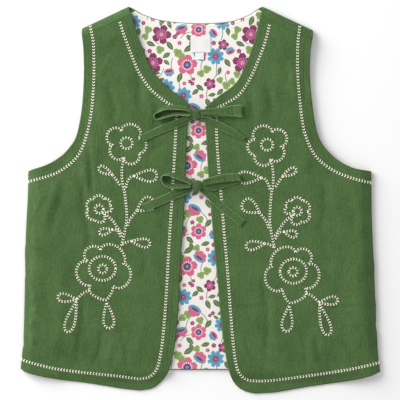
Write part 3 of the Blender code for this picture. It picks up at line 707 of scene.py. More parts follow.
def inside(outline, points):
    """True for each point that lies within the outline."""
    found = np.zeros(len(points), bool)
    for (x0, y0), (x1, y1) in zip(outline, np.roll(outline, -1, axis=0)):
        if y0 == y1:
            continue
        spans = (y0 > points[:, 1]) != (y1 > points[:, 1])
        found ^= spans & (points[:, 0] < x0 + (points[:, 1] - y0) * (x1 - x0) / (y1 - y0))
    return found


def fill_points(outline, spacing, rings, extra):
    """Rings, extra rows and a lattice inside an outline, none crowding another."""
    closed = np.vstack([outline, outline[:1]])
    kept = list(outline)
    batches = []
    for distance in rings:
        ring = moved_in(outline, distance)
        ring = ring[inside(outline, ring)]
        batches.append((ring[distance_to(closed, ring) > distance * 0.96], min(0.6, distance * 0.9)))
    if len(extra):
        rows = extra[inside(outline, extra)]
        batches.append((rows[distance_to(closed, rows) > rings[-1] * 0.25], 0.7))
    low, high = outline.min(axis=0), outline.max(axis=0)
    row_height = spacing * math.sqrt(3) / 2
    rows = np.arange(int((high[1] - low[1]) / row_height) + 1)
    columns = np.arange(int((high[0] - low[0]) / spacing) + 1)
    row, column = np.meshgrid(rows, columns, indexing="ij")
    lattice = np.stack([(low[0] + (column + 0.5 * (row % 2)) * spacing).ravel(),
                        (low[1] + (row + 0.5) * row_height).ravel()], axis=1)
    lattice = lattice[inside(outline, lattice)]
    batches.append((lattice[distance_to(closed, lattice) > rings[-1] + spacing * 0.5], spacing * 0.6))
    for batch, clear in batches:
        tree = KDTree(len(kept))
        for index, point in enumerate(kept):
            tree.insert((point[0], point[1], 0.0), index)
        tree.balance()
        kept.extend(point for point in batch if tree.find((point[0], point[1], 0.0))[2] > clear)
    return np.array(kept)


def triangulated(outline, spacing, rings, extra=()):
    """Points and triangles that fill an outline."""
    points = fill_points(outline, spacing, rings, np.array(extra))
    count = len(outline)
    loops = [(index, (index + 1) % count) for index in range(count)]
    made = delaunay_2d_cdt([Vector(point) for point in points], loops, [list(range(count))], 1, 1e-5)
    return np.array([tuple(point) for point in made[0]]), np.array([tuple(face) for face in made[2]])


def rim_edges(faces):
    """Edges that only one triangle uses, each the way that the triangle runs."""
    found = {}
    for a, b, c in faces.tolist():
        for start, end in ((a, b), (b, c), (c, a)):
            key = (min(start, end), max(start, end))
            found[key] = None if key in found else (start, end)
    return np.array([edge for edge in found.values() if edge])


print("rings of points", len(RINGS), "within", RINGS[-1], "mm of an edge")

# %% Giving cloth its two faces
EDGE_FLAT = 0.32
ROLL_REACH = 1.25
SEAM_DIP = 0.07
SEAM_DIP_REACH = 0.7
SEWN_DIP = 0.22
SEWN_REACH = 2.4
STITCH_ROWS = (3.0, 5.9)
GROOVE = 0.30
GROOVE_WIDTH = 0.5
# Relief by the stitched rows, which lie in grooves. Columns: distance from the edge, half width, height
EDGE_RELIEF = [(1.7, 0.8, 0.10), (4.45, 0.8, 0.14), (8.2, 1.9, 0.16),
               *[(row, GROOVE_WIDTH, -GROOVE) for row in STITCH_ROWS]]


def rolled(distance, wall):
    """How far a turned edge draws a face in towards the middle of the wall."""
    near = np.clip(1.0 - distance / ROLL_REACH, 0.0, 1.0)
    return (wall / 2 - EDGE_FLAT * wall / WALL) * (1.0 - np.sqrt(1.0 - near * near))


def stitched_relief(distance):
    """How proud the face stands between two stitched rows, at each distance from the edge."""
    return sum(height * np.exp(-((distance - where) / width) ** 2) for where, width, height in EDGE_RELIEF)


def keep_map(mesh, name, vertex_places):
    """A UV map that gives every corner the place of its vertex."""
    corners = np.empty(len(mesh.loops), dtype=np.int32)
    mesh.loops.foreach_get("vertex_index", corners)
    layer = mesh.uv_layers.new(name=name)
    layer.data.foreach_set("uv", vertex_places[corners].astype(np.float32).ravel())


def cloth_object(name, points, faces, materials, slots, flat_points):
    """A mesh object from points in millimetres, with its pattern kept as the UV map 'cut'."""
    mesh = bpy.data.meshes.new(name)
    mesh.from_pydata((points * MM).tolist(), [], [tuple(face) for face in faces])
    for material in materials:
        mesh.materials.append(material)
    mesh.polygons.foreach_set("material_index", np.asarray(slots, dtype=np.int32))
    keep_map(mesh, "cut", flat_points * MM)
    shell = bmesh.new()
    shell.from_mesh(mesh)
    bmesh.ops.recalc_face_normals(shell, faces=shell.faces)
    shell.to_mesh(mesh)
    shell.free()
    mesh.shade_smooth()
    made = bpy.data.objects.new(name, mesh)
    bpy.context.scene.collection.objects.link(made)
    return made

# %% A panel of cloth
class Panel:
    """One piece of cloth: its outline, its free edges and its seams, and how it is placed."""

    def __init__(self, lines, free, place, wall, raise_by=0.0):
        self.lines = lines
        self.outline = joined(*lines.values())
        self.free = [lines[name] for name in free]
        self.seams = [line for name, line in lines.items() if name not in free]
        self.place = place
        self.wall = wall
        self.raise_by = raise_by
        self.sewn = []

    def edge_distance(self, points):
        return np.min([distance_to(line, points) for line in self.free], axis=0)

    def faces_at(self, points):
        """Outer and inner depth at each pattern point, and the distance to a free edge."""
        free = self.edge_distance(points)
        seam = np.min([distance_to(line, points) for line in self.seams], axis=0)
        dip = SEAM_DIP * np.exp(-(seam / SEAM_DIP_REACH) ** 2)
        sewn = np.zeros(len(points))
        for line in self.sewn:
            sewn = np.maximum(sewn, SEWN_DIP * np.exp(-(distance_to(line, points) / SEWN_REACH) ** 2))
        relief = stitched_relief(free) * self.wall / WALL
        outer = self.raise_by + rolled(free, self.wall) - relief + dip + sewn
        inner = self.wall - rolled(free, self.wall)
        return outer, inner, free

    def on_face(self, points, out):
        """Places that stand out by that much from the finished outer face."""
        outer, _, free = self.faces_at(points)
        return self.place(points, outer - out, free)

    def cloth(self, name, spacing, materials, extra=(), rings=RINGS):
        flat, faces = triangulated(self.outline, spacing, rings, extra)
        outer, inner, free = self.faces_at(flat)
        points = np.vstack([self.place(flat, outer, free), self.place(flat, inner, free)])
        count = len(flat)
        rim = rim_edges(faces)
        shell = faces.tolist() + (faces[:, ::-1] + count).tolist()
        shell += [(b, a, a + count, b + count) for a, b in rim.tolist()]
        slots = [0] * len(faces) + [len(materials) - 1] * len(faces) + [0] * len(rim)
        made = cloth_object(name, points, shell, materials, slots, np.vstack([flat, flat]))
        area = abs(signed_area(self.outline))
        print(name, len(made.data.polygons), "faces, cut area", round(area / 1e6, 4), "m2")
        made["cut_area"] = area / 1e6
        return made

# %% [markdown]
# ## Cloth, print and thread
#
# The green is a soft washed plain weave. Its threads are under half a millimetre wide, so they
# are bump and a slight painted shade only, while everything larger is in the mesh. Plain weave
# and uneven dye, with its crinkle painted as shade, are used by several materials, so each is a
# node group with named inputs and outputs. They read the UV map 'cut', so threads run with the
# grain round the folds.

# %% Node helpers
class Flow:
    """A number, place or colour in a shader tree. Sums with one add the nodes that work them out."""

    def __init__(self, socket):
        self.socket, self.tree = socket, socket.id_data

    def __add__(self, other):
        return maths("ADD", self, other)

    def __sub__(self, other):
        return maths("SUBTRACT", self, other)

    def __rsub__(self, other):
        return maths("SUBTRACT", other, self)

    def __mul__(self, other):
        return maths("MULTIPLY", self, other)

    def __truediv__(self, other):
        return maths("DIVIDE", self, other)

    def __abs__(self):
        return maths("ABSOLUTE", self)


def feed(socket, value):
    """Link a socket to a flow, or set it to a plain value."""
    if isinstance(value, Flow):
        value.tree.links.new(value.socket, socket)
    else:
        socket.default_value = value


def added(kind, sockets, feeds, **settings):
    """A node in the tree that its feeds come from, its sockets fed by place or by name."""
    tree = next(value.tree for value in feeds if isinstance(value, Flow))
    node = tree.nodes.new(kind)
    for title, value in settings.items():
        setattr(node, title, value)
    for socket, value in zip(sockets or range(len(feeds)), feeds):
        feed(node.inputs[socket], value)
    return node


def maths(operation, *feeds, clamp=False):
    return Flow(added("ShaderNodeMath", (), feeds, operation=operation, use_clamp=clamp).outputs["Value"])


def vectors(operation, *feeds):
    node = added("ShaderNodeVectorMath", (), feeds, operation=operation)
    return Flow(node.outputs["Value" if operation == "LENGTH" else "Vector"])


def parts(place):
    """X and Y of a place."""
    node = added("ShaderNodeSeparateXYZ", (), [place])
    return Flow(node.outputs["X"]), Flow(node.outputs["Y"])


def stretched(place, x, y):
    return vectors("MULTIPLY", place, (x, y, 1.0))


def mixed(share, first, second):
    """A blend of two colours by a share from 0 to 1."""
    return Flow(added("ShaderNodeMix", (0, 6, 7), [share, first, second], data_type="RGBA",
                      clamp_factor=True).outputs[2])


def noise(place, scale=1.0, detail=2.0, roughness=0.5):
    """Noise from 0 to 1 over a place, in that many patches a unit."""
    return Flow(added("ShaderNodeTexNoise", ("Vector", "Scale", "Detail", "Roughness"),
                      [place, scale, detail, roughness]).outputs["Fac"])

# %% Node groups and maps
SOCKET_KINDS = {"place": "NodeSocketVector", "colour": "NodeSocketColor"}


def new_group(name, inputs, outputs):
    """A shader node group. Each socket is a number's first value, or the word place or colour."""
    tree = bpy.data.node_groups.new(name, "ShaderNodeTree")
    for way, sockets in (("INPUT", inputs), ("OUTPUT", outputs)):
        for title, value in sockets.items():
            kind = SOCKET_KINDS.get(value, "NodeSocketFloat")
            socket = tree.interface.new_socket(title, in_out=way, socket_type=kind)
            if value not in SOCKET_KINDS:
                socket.default_value = value
    given = {socket.name: Flow(socket) for socket in tree.nodes.new("NodeGroupInput").outputs}
    return tree, given, tree.nodes.new("NodeGroupOutput").inputs


def use_group(group, **feeds):
    """A group placed in a tree, its inputs fed by name. Gives its outputs by name."""
    titles = [title.replace("_", " ") for title in feeds]
    node = added("ShaderNodeGroup", titles, feeds.values(), node_tree=group)
    return {socket.name: Flow(socket) for socket in node.outputs}


def map_place(tree, name):
    """The place on a piece that one of its UV maps gives."""
    node = tree.nodes.new("ShaderNodeUVMap")
    node.uv_map = name
    return Flow(node.outputs["UV"])


def cut_place(tree):
    """The pattern's own place on the piece, in millimetres."""
    return vectors("MULTIPLY", map_place(tree, "cut"), (1 / MM, 1 / MM, 1 / MM))


def set_looks(shader, colour, height, distance, strength=1.0):
    """The colour of a material, and fine relief of that many millimetres."""
    feed(shader.inputs["Base Color"], colour)
    relief = added("ShaderNodeBump", ("Strength", "Distance", "Height"), [strength, distance * MM, height])
    feed(shader.inputs["Normal"], Flow(relief.outputs["Normal"]))

# %% Plain weave and uneven dye, with their painted shade
def build_weave():
    """Threads of a plain weave: their height, and a slight painted shade that follows it, lighter on the
    crowns and slubs and darker between the threads.
    """
    tree, given, result = new_group("plain weave", {"Place": "place", "Thread": 0.42, "Slub": 0.5},
                                    {"Height": 0.0, "Shade": 0.0})
    place = given["Place"]
    x, y = parts(place)
    wander = noise(place, 0.35, 1.0)
    warp = maths("SINE", (wander * 0.5 + x) / given["Thread"] * math.pi)
    weft = maths("SINE", (wander * 0.4 + y) / given["Thread"] * math.pi)
    over = maths("SIGN", warp * weft) * 0.5 + 0.5
    top = abs(warp) * over + abs(weft) * (1.0 - over)
    slub = (noise(stretched(place, 1.6, 0.10)) + noise(stretched(place, 0.10, 1.6)) - 1.0) * given["Slub"]
    feed(result["Height"], top * 0.5 + slub)
    # Shade follows the height: painted shade, lighter on the threads' crowns and slubs.
    feed(result["Shade"], (top - 0.6) * 0.25 + slub)
    return tree


def build_dye_and_crinkle_shade():
    """Uneven dye in broad patches and fine grain, and the crinkle and streaks of washed cotton as relief and
    as painted shade, from minus 1 to 1.
    """
    tree, given, result = new_group("uneven dye and painted crinkle shade", {"Place": "place", "Streaks": 0.5},
                                    {"Shade": 0.0, "Height": 0.0})
    place = given["Place"]
    broad = noise(place, 0.035, 3.0, 0.55) - 0.5
    streaks = noise(stretched(place, 0.50, 0.085), 1.0, 3.0, 0.6) - 0.5
    crinkle = noise(stretched(place, 0.42, 0.30), 1.0, 4.0, 0.65) - 0.5
    grain = noise(place, 0.85) - 0.5
    both = crinkle * 1.3 + streaks * given["Streaks"]
    # Shade: broad patches and grain are uneven dye; the crinkle and streaks, the same as the relief, are
    # painted shade.
    feed(result["Shade"], broad + (both + grain))
    feed(result["Height"], both)
    return tree


WEAVE = build_weave()
DYE_AND_CRINKLE_SHADE = build_dye_and_crinkle_shade()
print("node groups", WEAVE.name, "and", DYE_AND_CRINKLE_SHADE.name)

# %% Green cottons
SHADE_MIDDLE = 0.5


def fabric(name, light, dark, contrast=0.82, bump=0.36):
    """A washed plain-weave cotton between two colours."""
    made, tree, shader = new_material(name, Roughness=0.92, Specular_IOR_Level=0.18, Sheen_Weight=0.12,
                                      Sheen_Roughness=0.5)
    place = cut_place(tree)
    weave = use_group(WEAVE, Place=place, Thread=0.42, Slub=0.5)
    dye_and_shade = use_group(DYE_AND_CRINKLE_SHADE, Place=place, Streaks=0.8)
    # Colour: uneven dye, and painted shade that follows the weave, the crinkle and the streaks.
    shade = weave["Shade"] * 0.55 + dye_and_shade["Shade"]
    share = maths("MULTIPLY_ADD", shade, contrast, SHADE_MIDDLE, clamp=True)
    set_looks(shader, mixed(share, dark, light), dye_and_shade["Height"] * 1.6 + weave["Height"] * 0.35, bump)
    return made


RIM_START = 0.76
RIM_RISE = 3.4


def worn_and_highlit_rims(material, pale):
    """The cloth goes paler along the folded edges of a strip: partly wear where it rubs, partly a painted
    highlight where the rolled edges catch the light.
    """
    base = material.node_tree.nodes["Principled BSDF"].inputs["Base Color"]
    across = parts(map_place(material.node_tree, "rim"))[0]
    share = maths("MULTIPLY", abs(across) - RIM_START, RIM_RISE, clamp=True)
    feed(base, mixed(share, Flow(base.links[0].from_socket), pale))


green_cloth = fabric("green washed cotton", dye(86, 117, 67), dye(58, 82, 43))
tie_cloth = fabric("green tie cotton", dye(84, 114, 65), dye(56, 80, 41), contrast=0.8, bump=0.3)
# Paler rims on the ties: wear, and a painted highlight along the rolled edges.
worn_and_highlit_rims(tie_cloth, dye(122, 153, 100))
print("materials", green_cloth.name, "and", tie_cloth.name)

# %% [markdown]
# ## The printed lining
#
# The lining is an off-white cotton with a small country-garden print that repeats. A print
# like this is drawn here as a printer's screen would be: one tile with flowers, cups, clover,
# leaves and stems, wrapped so that it repeats with no seam. Each motif is a node group that
# takes a ground colour in and gives the colour out with its motif laid on it, so a row of a
# table is one motif, and the motifs chain. A renderer works out nodes as soon as they are
# ready and can hold only a few hundred numbers, so each motif also hands on the place, moved
# by a millionth of its colour, and the next one has to wait. The layout is this file's own.

# %% Motif groups
TILE = (94.0, 106.0)
SOFT_EDGE = 5.0
RUFFLE = 0.025
RUFFLES = 17.0
DASHES = 13.0
HAND_ON = 1e-6
COMMON = {"Place": "place", "Ground": "colour", "Centre": "place", "Turn": 0.0}
LAID = {"Colour": "colour", "Place": "place"}


def tile_local(given):
    """The place in the repeat as seen from a motif: centred, wrapped and turned, and its X and Y."""
    half = (TILE[0] / 2, TILE[1] / 2, 1.0)
    offset = vectors("SUBTRACT", given["Place"], given["Centre"])
    wrapped = vectors("WRAP", offset, half, tuple(-part for part in half))
    turner = added("ShaderNodeVectorRotate", ("Vector", "Angle"), [wrapped, given["Turn"] * -1.0],
                   rotation_type="Z_AXIS")
    local = Flow(turner.outputs["Vector"])
    return local, *parts(local)


def mask(amount):
    """1 where the amount is above 0, with an edge as soft as ink on cloth."""
    return maths("MULTIPLY_ADD", amount, SOFT_EDGE, 0.5, clamp=True)


def hand_on(given, result, colour):
    """The motif's colour, and the place handed on by way of it, so the next motif waits."""
    feed(result["Colour"], colour)
    feed(result["Place"], vectors("MULTIPLY_ADD", colour, (HAND_ON,) * 3, given["Place"]))


def petal_edge(x, y, petals, radius, notch):
    """A flower's direction at each place, and the radius of its edge there."""
    angle = maths("ARCTAN2", y, x)
    lobes = maths("POWER", abs(maths("COSINE", angle * petals)), 0.5)
    ruffle = maths("COSINE", angle * RUFFLES) * RUFFLE
    return angle, (lobes * notch + (1.0 - notch) + ruffle) * radius


def build_flower():
    """A flower seen from the front: petals, a dashed ring, a heart and an eye."""
    tree, given, result = new_group(
        "printed flower",
        {**COMMON, "Radius": 8.0, "Half petals": 2.5, "Notch": 0.4, "Petal": "colour", "Dash": "colour",
         "Heart": "colour", "Eye": "colour"}, LAID)
    local, x, y = tile_local(given)
    away = vectors("LENGTH", local)
    angle, edge = petal_edge(x, y, given["Half petals"], given["Radius"], given["Notch"])
    share = away / given["Radius"]
    dashes = mask((0.055 - abs(share - 0.46)) * 8.0) * mask(maths("SINE", angle * DASHES))
    colour = mixed(mask(edge - away), given["Ground"], given["Petal"])
    colour = mixed(dashes, colour, given["Dash"])
    colour = mixed(mask((0.33 - share) * given["Radius"]), colour, given["Heart"])
    hand_on(given, result, mixed(mask((0.16 - share) * given["Radius"]), colour, given["Eye"]))
    return tree


def build_cup():
    """A flower seen from the side: a fan of petals, a band of upper petals and a dark throat."""
    tree, given, result = new_group(
        "printed cup",
        {**COMMON, "Radius": 7.0, "Petal": "colour", "Upper": "colour", "Throat": "colour"}, LAID)
    radius = given["Radius"]
    local, x, y = tile_local(given)
    edge = petal_edge(x, y, 3.5, radius, 0.2)[1]
    fan = maths("MINIMUM", edge - vectors("LENGTH", local), radius * 0.3 + y)

    def oval(rise, wide, tall):
        across, along = x / wide, (y - radius * rise) / tall
        return mask(radius - maths("SQRT", across * across + along * along))

    colour = mixed(mask(fan), given["Ground"], given["Petal"])
    colour = mixed(oval(-0.18, 0.86, 0.42), colour, given["Upper"])
    hand_on(given, result, mixed(oval(-0.06, 0.60, 0.20), colour, given["Throat"]))
    return tree

# %% Leaf and stem groups
def lengthwise(given):
    """Y of a long motif, and how far its middle bulges at each place along it, from 0 to 1."""
    _, x, y = tile_local(given)
    share = x / (given["Length"] * 0.5)
    return y, share, 1.0 - share * share


def build_leaf():
    """A pointed leaf with a paler vein."""
    tree, given, result = new_group(
        "printed leaf", {**COMMON, "Length": 9.0, "Width": 4.0, "Leaf": "colour", "Vein": "colour"}, LAID)
    y, share, room = lengthwise(given)
    half = room * maths("MAXIMUM", share * 0.25 + 1.0, 0.5) * (given["Width"] * 0.5)
    colour = mixed(mask(half - abs(y)), given["Ground"], given["Leaf"])
    hand_on(given, result, mixed(mask(half * 0.30 - abs(y)) * 0.8, colour, given["Vein"]))
    return tree


def build_stem():
    """A thin stem, bent to one side."""
    tree, given, result = new_group(
        "printed stem", {**COMMON, "Length": 14.0, "Bend": 1.5, "Width": 0.6, "Stem": "colour"}, LAID)
    y, _, room = lengthwise(given)
    line = maths("MINIMUM", given["Width"] * 0.5 - abs(y - room * given["Bend"]), room * 4.0)
    hand_on(given, result, mixed(mask(line), given["Ground"], given["Stem"]))
    return tree


FLOWER, CUP, LEAF, STEM = build_flower(), build_cup(), build_leaf(), build_stem()
print("motifs", [group.name for group in (FLOWER, CUP, LEAF, STEM)])

# %% The tile
PINK, MAROON, BLUE = dye(200, 92, 126), dye(128, 32, 84), dye(70, 152, 184)
CREAM, DARK_RING, LILAC = dye(245, 238, 226), dye(78, 54, 112), dye(186, 150, 196)
DARK_LEAF, PALE_VEIN, CLOVER = dye(72, 98, 52), dye(112, 140, 84), dye(130, 156, 78)
LINING_GROUND = dye(230, 227, 222)
SWELL = 1.18
PRINT_SHIFT = (20.0, 0.0, 0.0)
STEM_WIDTH = 0.72

# Kinds of flower. Columns: half the number of petals, notch, petal, dash, heart, eye
FLOWER_KINDS = {
    "rose": (2.5, 0.44, PINK, CREAM, DARK_RING, BLUE),
    "six": (3.0, 0.38, PINK, CREAM, DARK_RING, BLUE),
    "wine": (2.5, 0.52, MAROON, LILAC, PINK, LILAC),
    "small wine": (2.5, 0.46, MAROON, LILAC, PINK, LILAC),
    "daisy": (4.0, 0.42, BLUE, MAROON, MAROON, PINK),
    "sprig": (2.5, 0.42, MAROON, PINK, PINK, PINK),
    "bud": (2.5, 0.45, PINK, MAROON, MAROON, CREAM),
    "clover": (1.5, 0.42, CLOVER, CLOVER, PALE_VEIN, CLOVER),
}

# Columns: x, y, turn, radius, kind
FLOWERS = [
    (-34, 36, 0.2, 9.2, "rose"), (14, -2, 0.9, 9.4, "rose"), (-22, -33, 0.5, 7.2, "six"),
    (24, 38, 0.3, 9, "wine"), (33, -38, 1.2, 8.8, "wine"), (-10, 16, 0.7, 5.4, "small wine"),
    (4, -49, 0.1, 5, "small wine"), (-4, 45, 0.4, 7.6, "daisy"), (38, 12, 0, 7.8, "daisy"),
    (-38, 4, 0.6, 7.4, "daisy"), (3, -25, 0.2, 7, "daisy"), (-31, 18.5, 0.1, 1.9, "sprig"),
    (-27.4, 21, 0.8, 1.7, "sprig"), (-28.6, 16.4, 0.5, 2, "sprig"), (27, 22, 0.3, 1.9, "sprig"),
    (23.6, 19.6, 0.9, 1.7, "sprig"), (26.4, 17.4, 0, 2, "sprig"), (-7, -13, 0.2, 2, "sprig"),
    (-10.2, -15.4, 0.6, 1.7, "sprig"), (24, -22, 0.4, 2.2, "bud"), (-19, 3, 0.1, 2.2, "bud"),
    (-42, -47, 0.1, 2.1, "bud"), (9, 28, 0.7, 2, "bud"), (-47, -40.5, 0.2, 2.2, "sprig"),
    (-44.2, -37.4, 0.8, 1.8, "sprig"), (-6, -47, 0.5, 2.2, "sprig"), (-12.5, -52, 0.1, 2, "bud"),
    (20.5, 50.5, 0.4, 2.2, "sprig"), (-37, 16.5, 0.6, 2, "bud"), (14, -26, 0.6, 2, "sprig"),
    (-28.5, -23.5, 0.3, 2.1, "sprig"),
]
# Clover heads are flowers of three petals. Columns: x, y, turn, radius
CLOVERS = [
    (-13, 31.5, 0.2, 3.9), (-19.5, 27, 1, 3.5), (7, 14.5, 0.4, 3.8), (13, 18.5, 1.3, 3.4),
    (-33, -14, 0.6, 3.9), (-39, -18, 1.6, 3.4), (19, -33, 0.1, 3.6), (16, -40, 0.9, 3.3),
    (42, -18, 0.5, 3.7), (-44, 49, 0.3, 4), (-39.5, 44.6, 1.2, 3.4), (-20.5, -20.5, 0.8, 3.6),
    (31.5, 52, 0.2, 3.9), (-24, -50.5, 1.1, 3.4), (18.5, 26, 0.5, 3.4), (0.5, 20, 0.9, 3.2),
]
# Columns: x, y, turn, radius, petal, upper petals
CUPS = [
    (-21, 45.5, -0.6, 6.2, PINK, BLUE), (-26, -9.5, 2.6, 6.4, PINK, BLUE), (31, -9, 0.7, 6, PINK, BLUE),
    (-40, -31.5, 3.4, 5.6, PINK, BLUE), (-6, -36.5, 2.2, 4.4, BLUE, PINK), (41, 29, 3.3, 4.6, BLUE, PINK),
    (11.5, 50, 0.4, 4.2, BLUE, PINK),
]
# Columns: x, y, turn, length, width
LEAVES = [
    (8.5, 38, 2.2, 9, 4.4), (38, 46, 0.6, 8.6, 4), (-42, 22.5, 1.2, 9.4, 4.6), (-20.5, 12, 2.5, 8.6, 4),
    (0.5, 7.5, 0.8, 8, 3.8), (26, 5, 1.9, 8.8, 4.2), (27.5, 28, 2.9, 7.6, 3.4), (-12, -4, 2, 9, 4.4),
    (18, -14.5, 0.2, 8.6, 4.2), (-12, -24.5, 0.9, 9.2, 4.4), (-31, -42, 2.4, 8.8, 4.2),
    (-15, -46, 0.3, 8.4, 4), (22, -48, 2.7, 9, 4.2), (43, -3.5, 1, 8.4, 4), (41.5, -28, 2, 7.6, 3.6),
    (0, 29.5, 1.3, 7.6, 3.4), (-45.5, -8.5, 2.6, 7.4, 3.6), (12, 9.5, 2.7, 5.4, 2.4),
    (-3.5, -17.5, 2.6, 5.6, 2.6), (33, 20.5, 0.3, 6, 2.8), (-33, -53, 0.6, 10, 4.8),
    (-29.5, -48.8, 1.9, 7.4, 3.6), (-2.5, -3, 2.4, 9.6, 4.6), (33.5, -24, 1.2, 9.6, 4.6),
    (2, -12.5, 0.4, 8.2, 4), (20, 11.5, 1.2, 8.4, 4.2), (-25.5, 7.5, 0.7, 8, 3.8),
    (42, -50, 2.2, 9.4, 4.4), (9, -35, 1.7, 7.8, 3.8), (-8, 4.5, 0.2, 7.2, 3.4), (38.5, 38.5, 2.5, 7, 3.4),
    (-45.5, -23.5, 0.9, 7.4, 3.6),
]
# Columns: x, y, turn, length, bend
STEMS = [
    (-17, 38, 1.2, 14, 1.6), (-4, 33, 1.6, 16, -1.2), (-12, 7, 1.4, 12, 1.4), (8.5, 20, 1.9, 15, 1.4),
    (32, 28, 1, 12, -1.6), (36, 0, 1.5, 13, 1.4), (22, -17, 0.9, 14, 1.6), (2, -37, 1.5, 14, -1.4),
    (-32, -22, 1.1, 14, 1.8), (-16, -18, 2.2, 14, -1.4), (-41, 15, 1.7, 13, 1.2), (-36, -39, 0.6, 12, 1.6),
    (27, -44, 2.3, 11, 1.4), (-2.5, 24, 0.8, 12, 1.2), (-29, 26, 1.5, 10, 1), (44.5, 37, 1.5, 13, 1.2),
]

# %% Lay the motifs on the tile
def build_print():
    """The whole repeat: the motifs of the tables, laid one on another."""
    tree, given, result = new_group("garden print", {"Place": "place", "Ground": "colour"},
                                    {"Colour": "colour"})
    under = {"Place": given["Place"], "Colour": given["Ground"]}

    def lay(group, row, **values):
        nonlocal under
        under = use_group(group, Place=under["Place"], Ground=under["Colour"], Centre=(row[0], row[1], 0.0),
                          Turn=row[2], **values)

    def lay_flower(row, kind):
        half, notch, petal, dash, heart, eye = FLOWER_KINDS[kind]
        lay(FLOWER, row, Radius=row[3] * SWELL, Half_petals=half, Notch=notch, Petal=petal, Dash=dash,
            Heart=heart, Eye=eye)

    for row in STEMS:
        lay(STEM, row, Length=row[3], Bend=row[4], Width=STEM_WIDTH, Stem=DARK_LEAF)
    for row in LEAVES:
        lay(LEAF, row, Length=row[3] * SWELL, Width=row[4] * SWELL, Leaf=DARK_LEAF, Vein=PALE_VEIN)
    for row in CLOVERS:
        lay_flower(row, "clover")
    for row in CUPS:
        lay(CUP, row, Radius=row[3] * SWELL, Petal=row[4], Upper=row[5], Throat=MAROON)
    for row in FLOWERS:
        lay_flower(row, row[4])
    feed(result["Colour"], under["Colour"])
    return tree


def printed_fabric(name, print_group):
    """Off-white cotton with the print on it."""
    made, tree, shader = new_material(name, Roughness=0.88, Specular_IOR_Level=0.2)
    place = cut_place(tree)
    weave = use_group(WEAVE, Place=place, Thread=0.32, Slub=0.35)
    dye_and_shade = use_group(DYE_AND_CRINKLE_SHADE, Place=place, Streaks=0.5)
    shifted = vectors("SUBTRACT", place, PRINT_SHIFT)
    printed = use_group(print_group, Place=shifted, Ground=LINING_GROUND)["Colour"]
    # A slight warm grey over the print everywhere, deeper on the ridges of the weave and crinkle and where
    # the dye is uneven.
    tone = maths("MULTIPLY_ADD", weave["Shade"] + dye_and_shade["Shade"], 0.10, 0.06, clamp=True)
    set_looks(shader, mixed(tone, printed, dye(206, 190, 180)),
              dye_and_shade["Height"] * 1.2 + weave["Height"] * 0.3, 0.12)
    return made


printed_cotton = printed_fabric("printed lining cotton", build_print())
print("print of", sum(map(len, (FLOWERS, CLOVERS, CUPS, LEAVES, STEMS))), "motifs a tile")

# %% [markdown]
# ## Where the embroidery runs
#
# The borders keep to the edges, and each front has one spray: two flowers, a curled bud, a
# round bud and looped leaves on a stem. An embroiderer charts these as lines and works the
# same stitch along all of them. The sprays are drawn from plain rules: a flower is petals
# between uneven notches, a leaf is a loop, a stem is a smooth curve. The lines are needed
# before the cloth is made, because stitching draws the cloth down a little along them.

# %% Lines of the borders
# Columns: x, y, from the shoulder or neck down to the hem, and along it to the side
ARMHOLE_BORDERS = {
    "left": [(-115.8, 183.2), (-112.4, 166), (-111.8, 147), (-111.8, 128.1), (-113.9, 96.6),
             (-118.1, 73.5), (-124.4, 54), (-132.3, 42), (-145.4, 31.5), (-157, 25.8),
             (-181.5, 19), (-184.5, 18.4)],
    "right": [(104.5, 183.2), (102.4, 165.9), (101.9, 147), (102.4, 128.1), (104.5, 102.9),
              (108.7, 73.5), (116, 54), (125, 41.6), (138.6, 31.5), (150.7, 25.8),
              (165.4, 21), (180.5, 17.8), (183.2, 17.4)],
}
NECK_BORDERS = {
    "left": [(-84.6, 187), (-79.8, 172.2), (-67.7, 140.7), (-60.9, 128.1), (-51.5, 115.5),
             (-36.2, 102.9), (-26.2, 97.7)],
    "right": [(72.6, 184.6), (69.8, 172.2), (63.5, 153.3), (52.5, 128.1), (41.2, 111),
              (28.9, 102.4), (17.6, 96.6)],
}
FRONT_BORDERS = {
    "left": [(-25, 93), (-26.8, 52.5), (-29.9, 0), (-32.6, -42), (-36.2, -105),
             (-39.2, -142.8), (-43, -168), (-46.7, -179), (-53, -185.6), (-62.1, -188),
             (-71.9, -187.2), (-89.8, -184.8), (-128.6, -180.6), (-155.9, -176.4), (-180.1, -170.1),
             (-192.5, -166)],
    "right": [(16.4, 91.5), (16.9, 76.7), (17.9, 52.5), (24.7, -31.5), (28.4, -73.5),
              (33.1, -136.5), (36.6, -168), (40.4, -181), (48, -188.6), (60.4, -190.4),
              (77.2, -189.5), (112.9, -184.8), (152.8, -178.5), (180.1, -172.6), (192, -169.8)],
}
BACK_HEM_BORDER_Y = -166.6
LINE_STEP = 1.5
print("border points", sum(len(rows) for table in (ARMHOLE_BORDERS, NECK_BORDERS, FRONT_BORDERS)
                           for rows in table.values()))

# %% Lines of the sprays
# Flowers of the left front. Columns: name, x, y, notches as angle and radius, petal radii
SPRAY_FLOWERS = [
    ("top flower", -77.2, 58.8, [(112, 15), (25, 13.4), (-38, 16), (-103, 14.2), (-176, 14.8)],
     [21.4, 20.6, 22, 20.4, 23]),
    ("lower flower", -102.4, -72.5, [(97, 20.4), (14, 22.6), (-58, 21), (-128, 21.2), (-207, 17.6)],
     [28, 30.4, 33, 28, 27]),
]
POINTED_PETAL = ("lower flower", 2)
POINTED_SHARES, POINTED_BULGE = (0, 0.37, 0.90, 1), (0, 1, 0.55, 0)
PETAL_ROUNDNESS = 0.55
CURLED_FLOWER = (-106, -9.6,
                 [(182, 11), (120, 12), (65, 11.2), (22, 11.4), (-20, 7.4), (-50, 6.9), (-112, 12)],
                 [14.4, 14.4, 14, 13.2, 7.2, 14.2, 14.6])
SPRAY_RINGS = [(-77.4, 59.6, 6.2, 6), (-102.8, -71.8, 14, 12.7), (-102.6, -72.4, 4.6, 4.5),
               (-106.2, -9.7, 4.4, 4.4)]
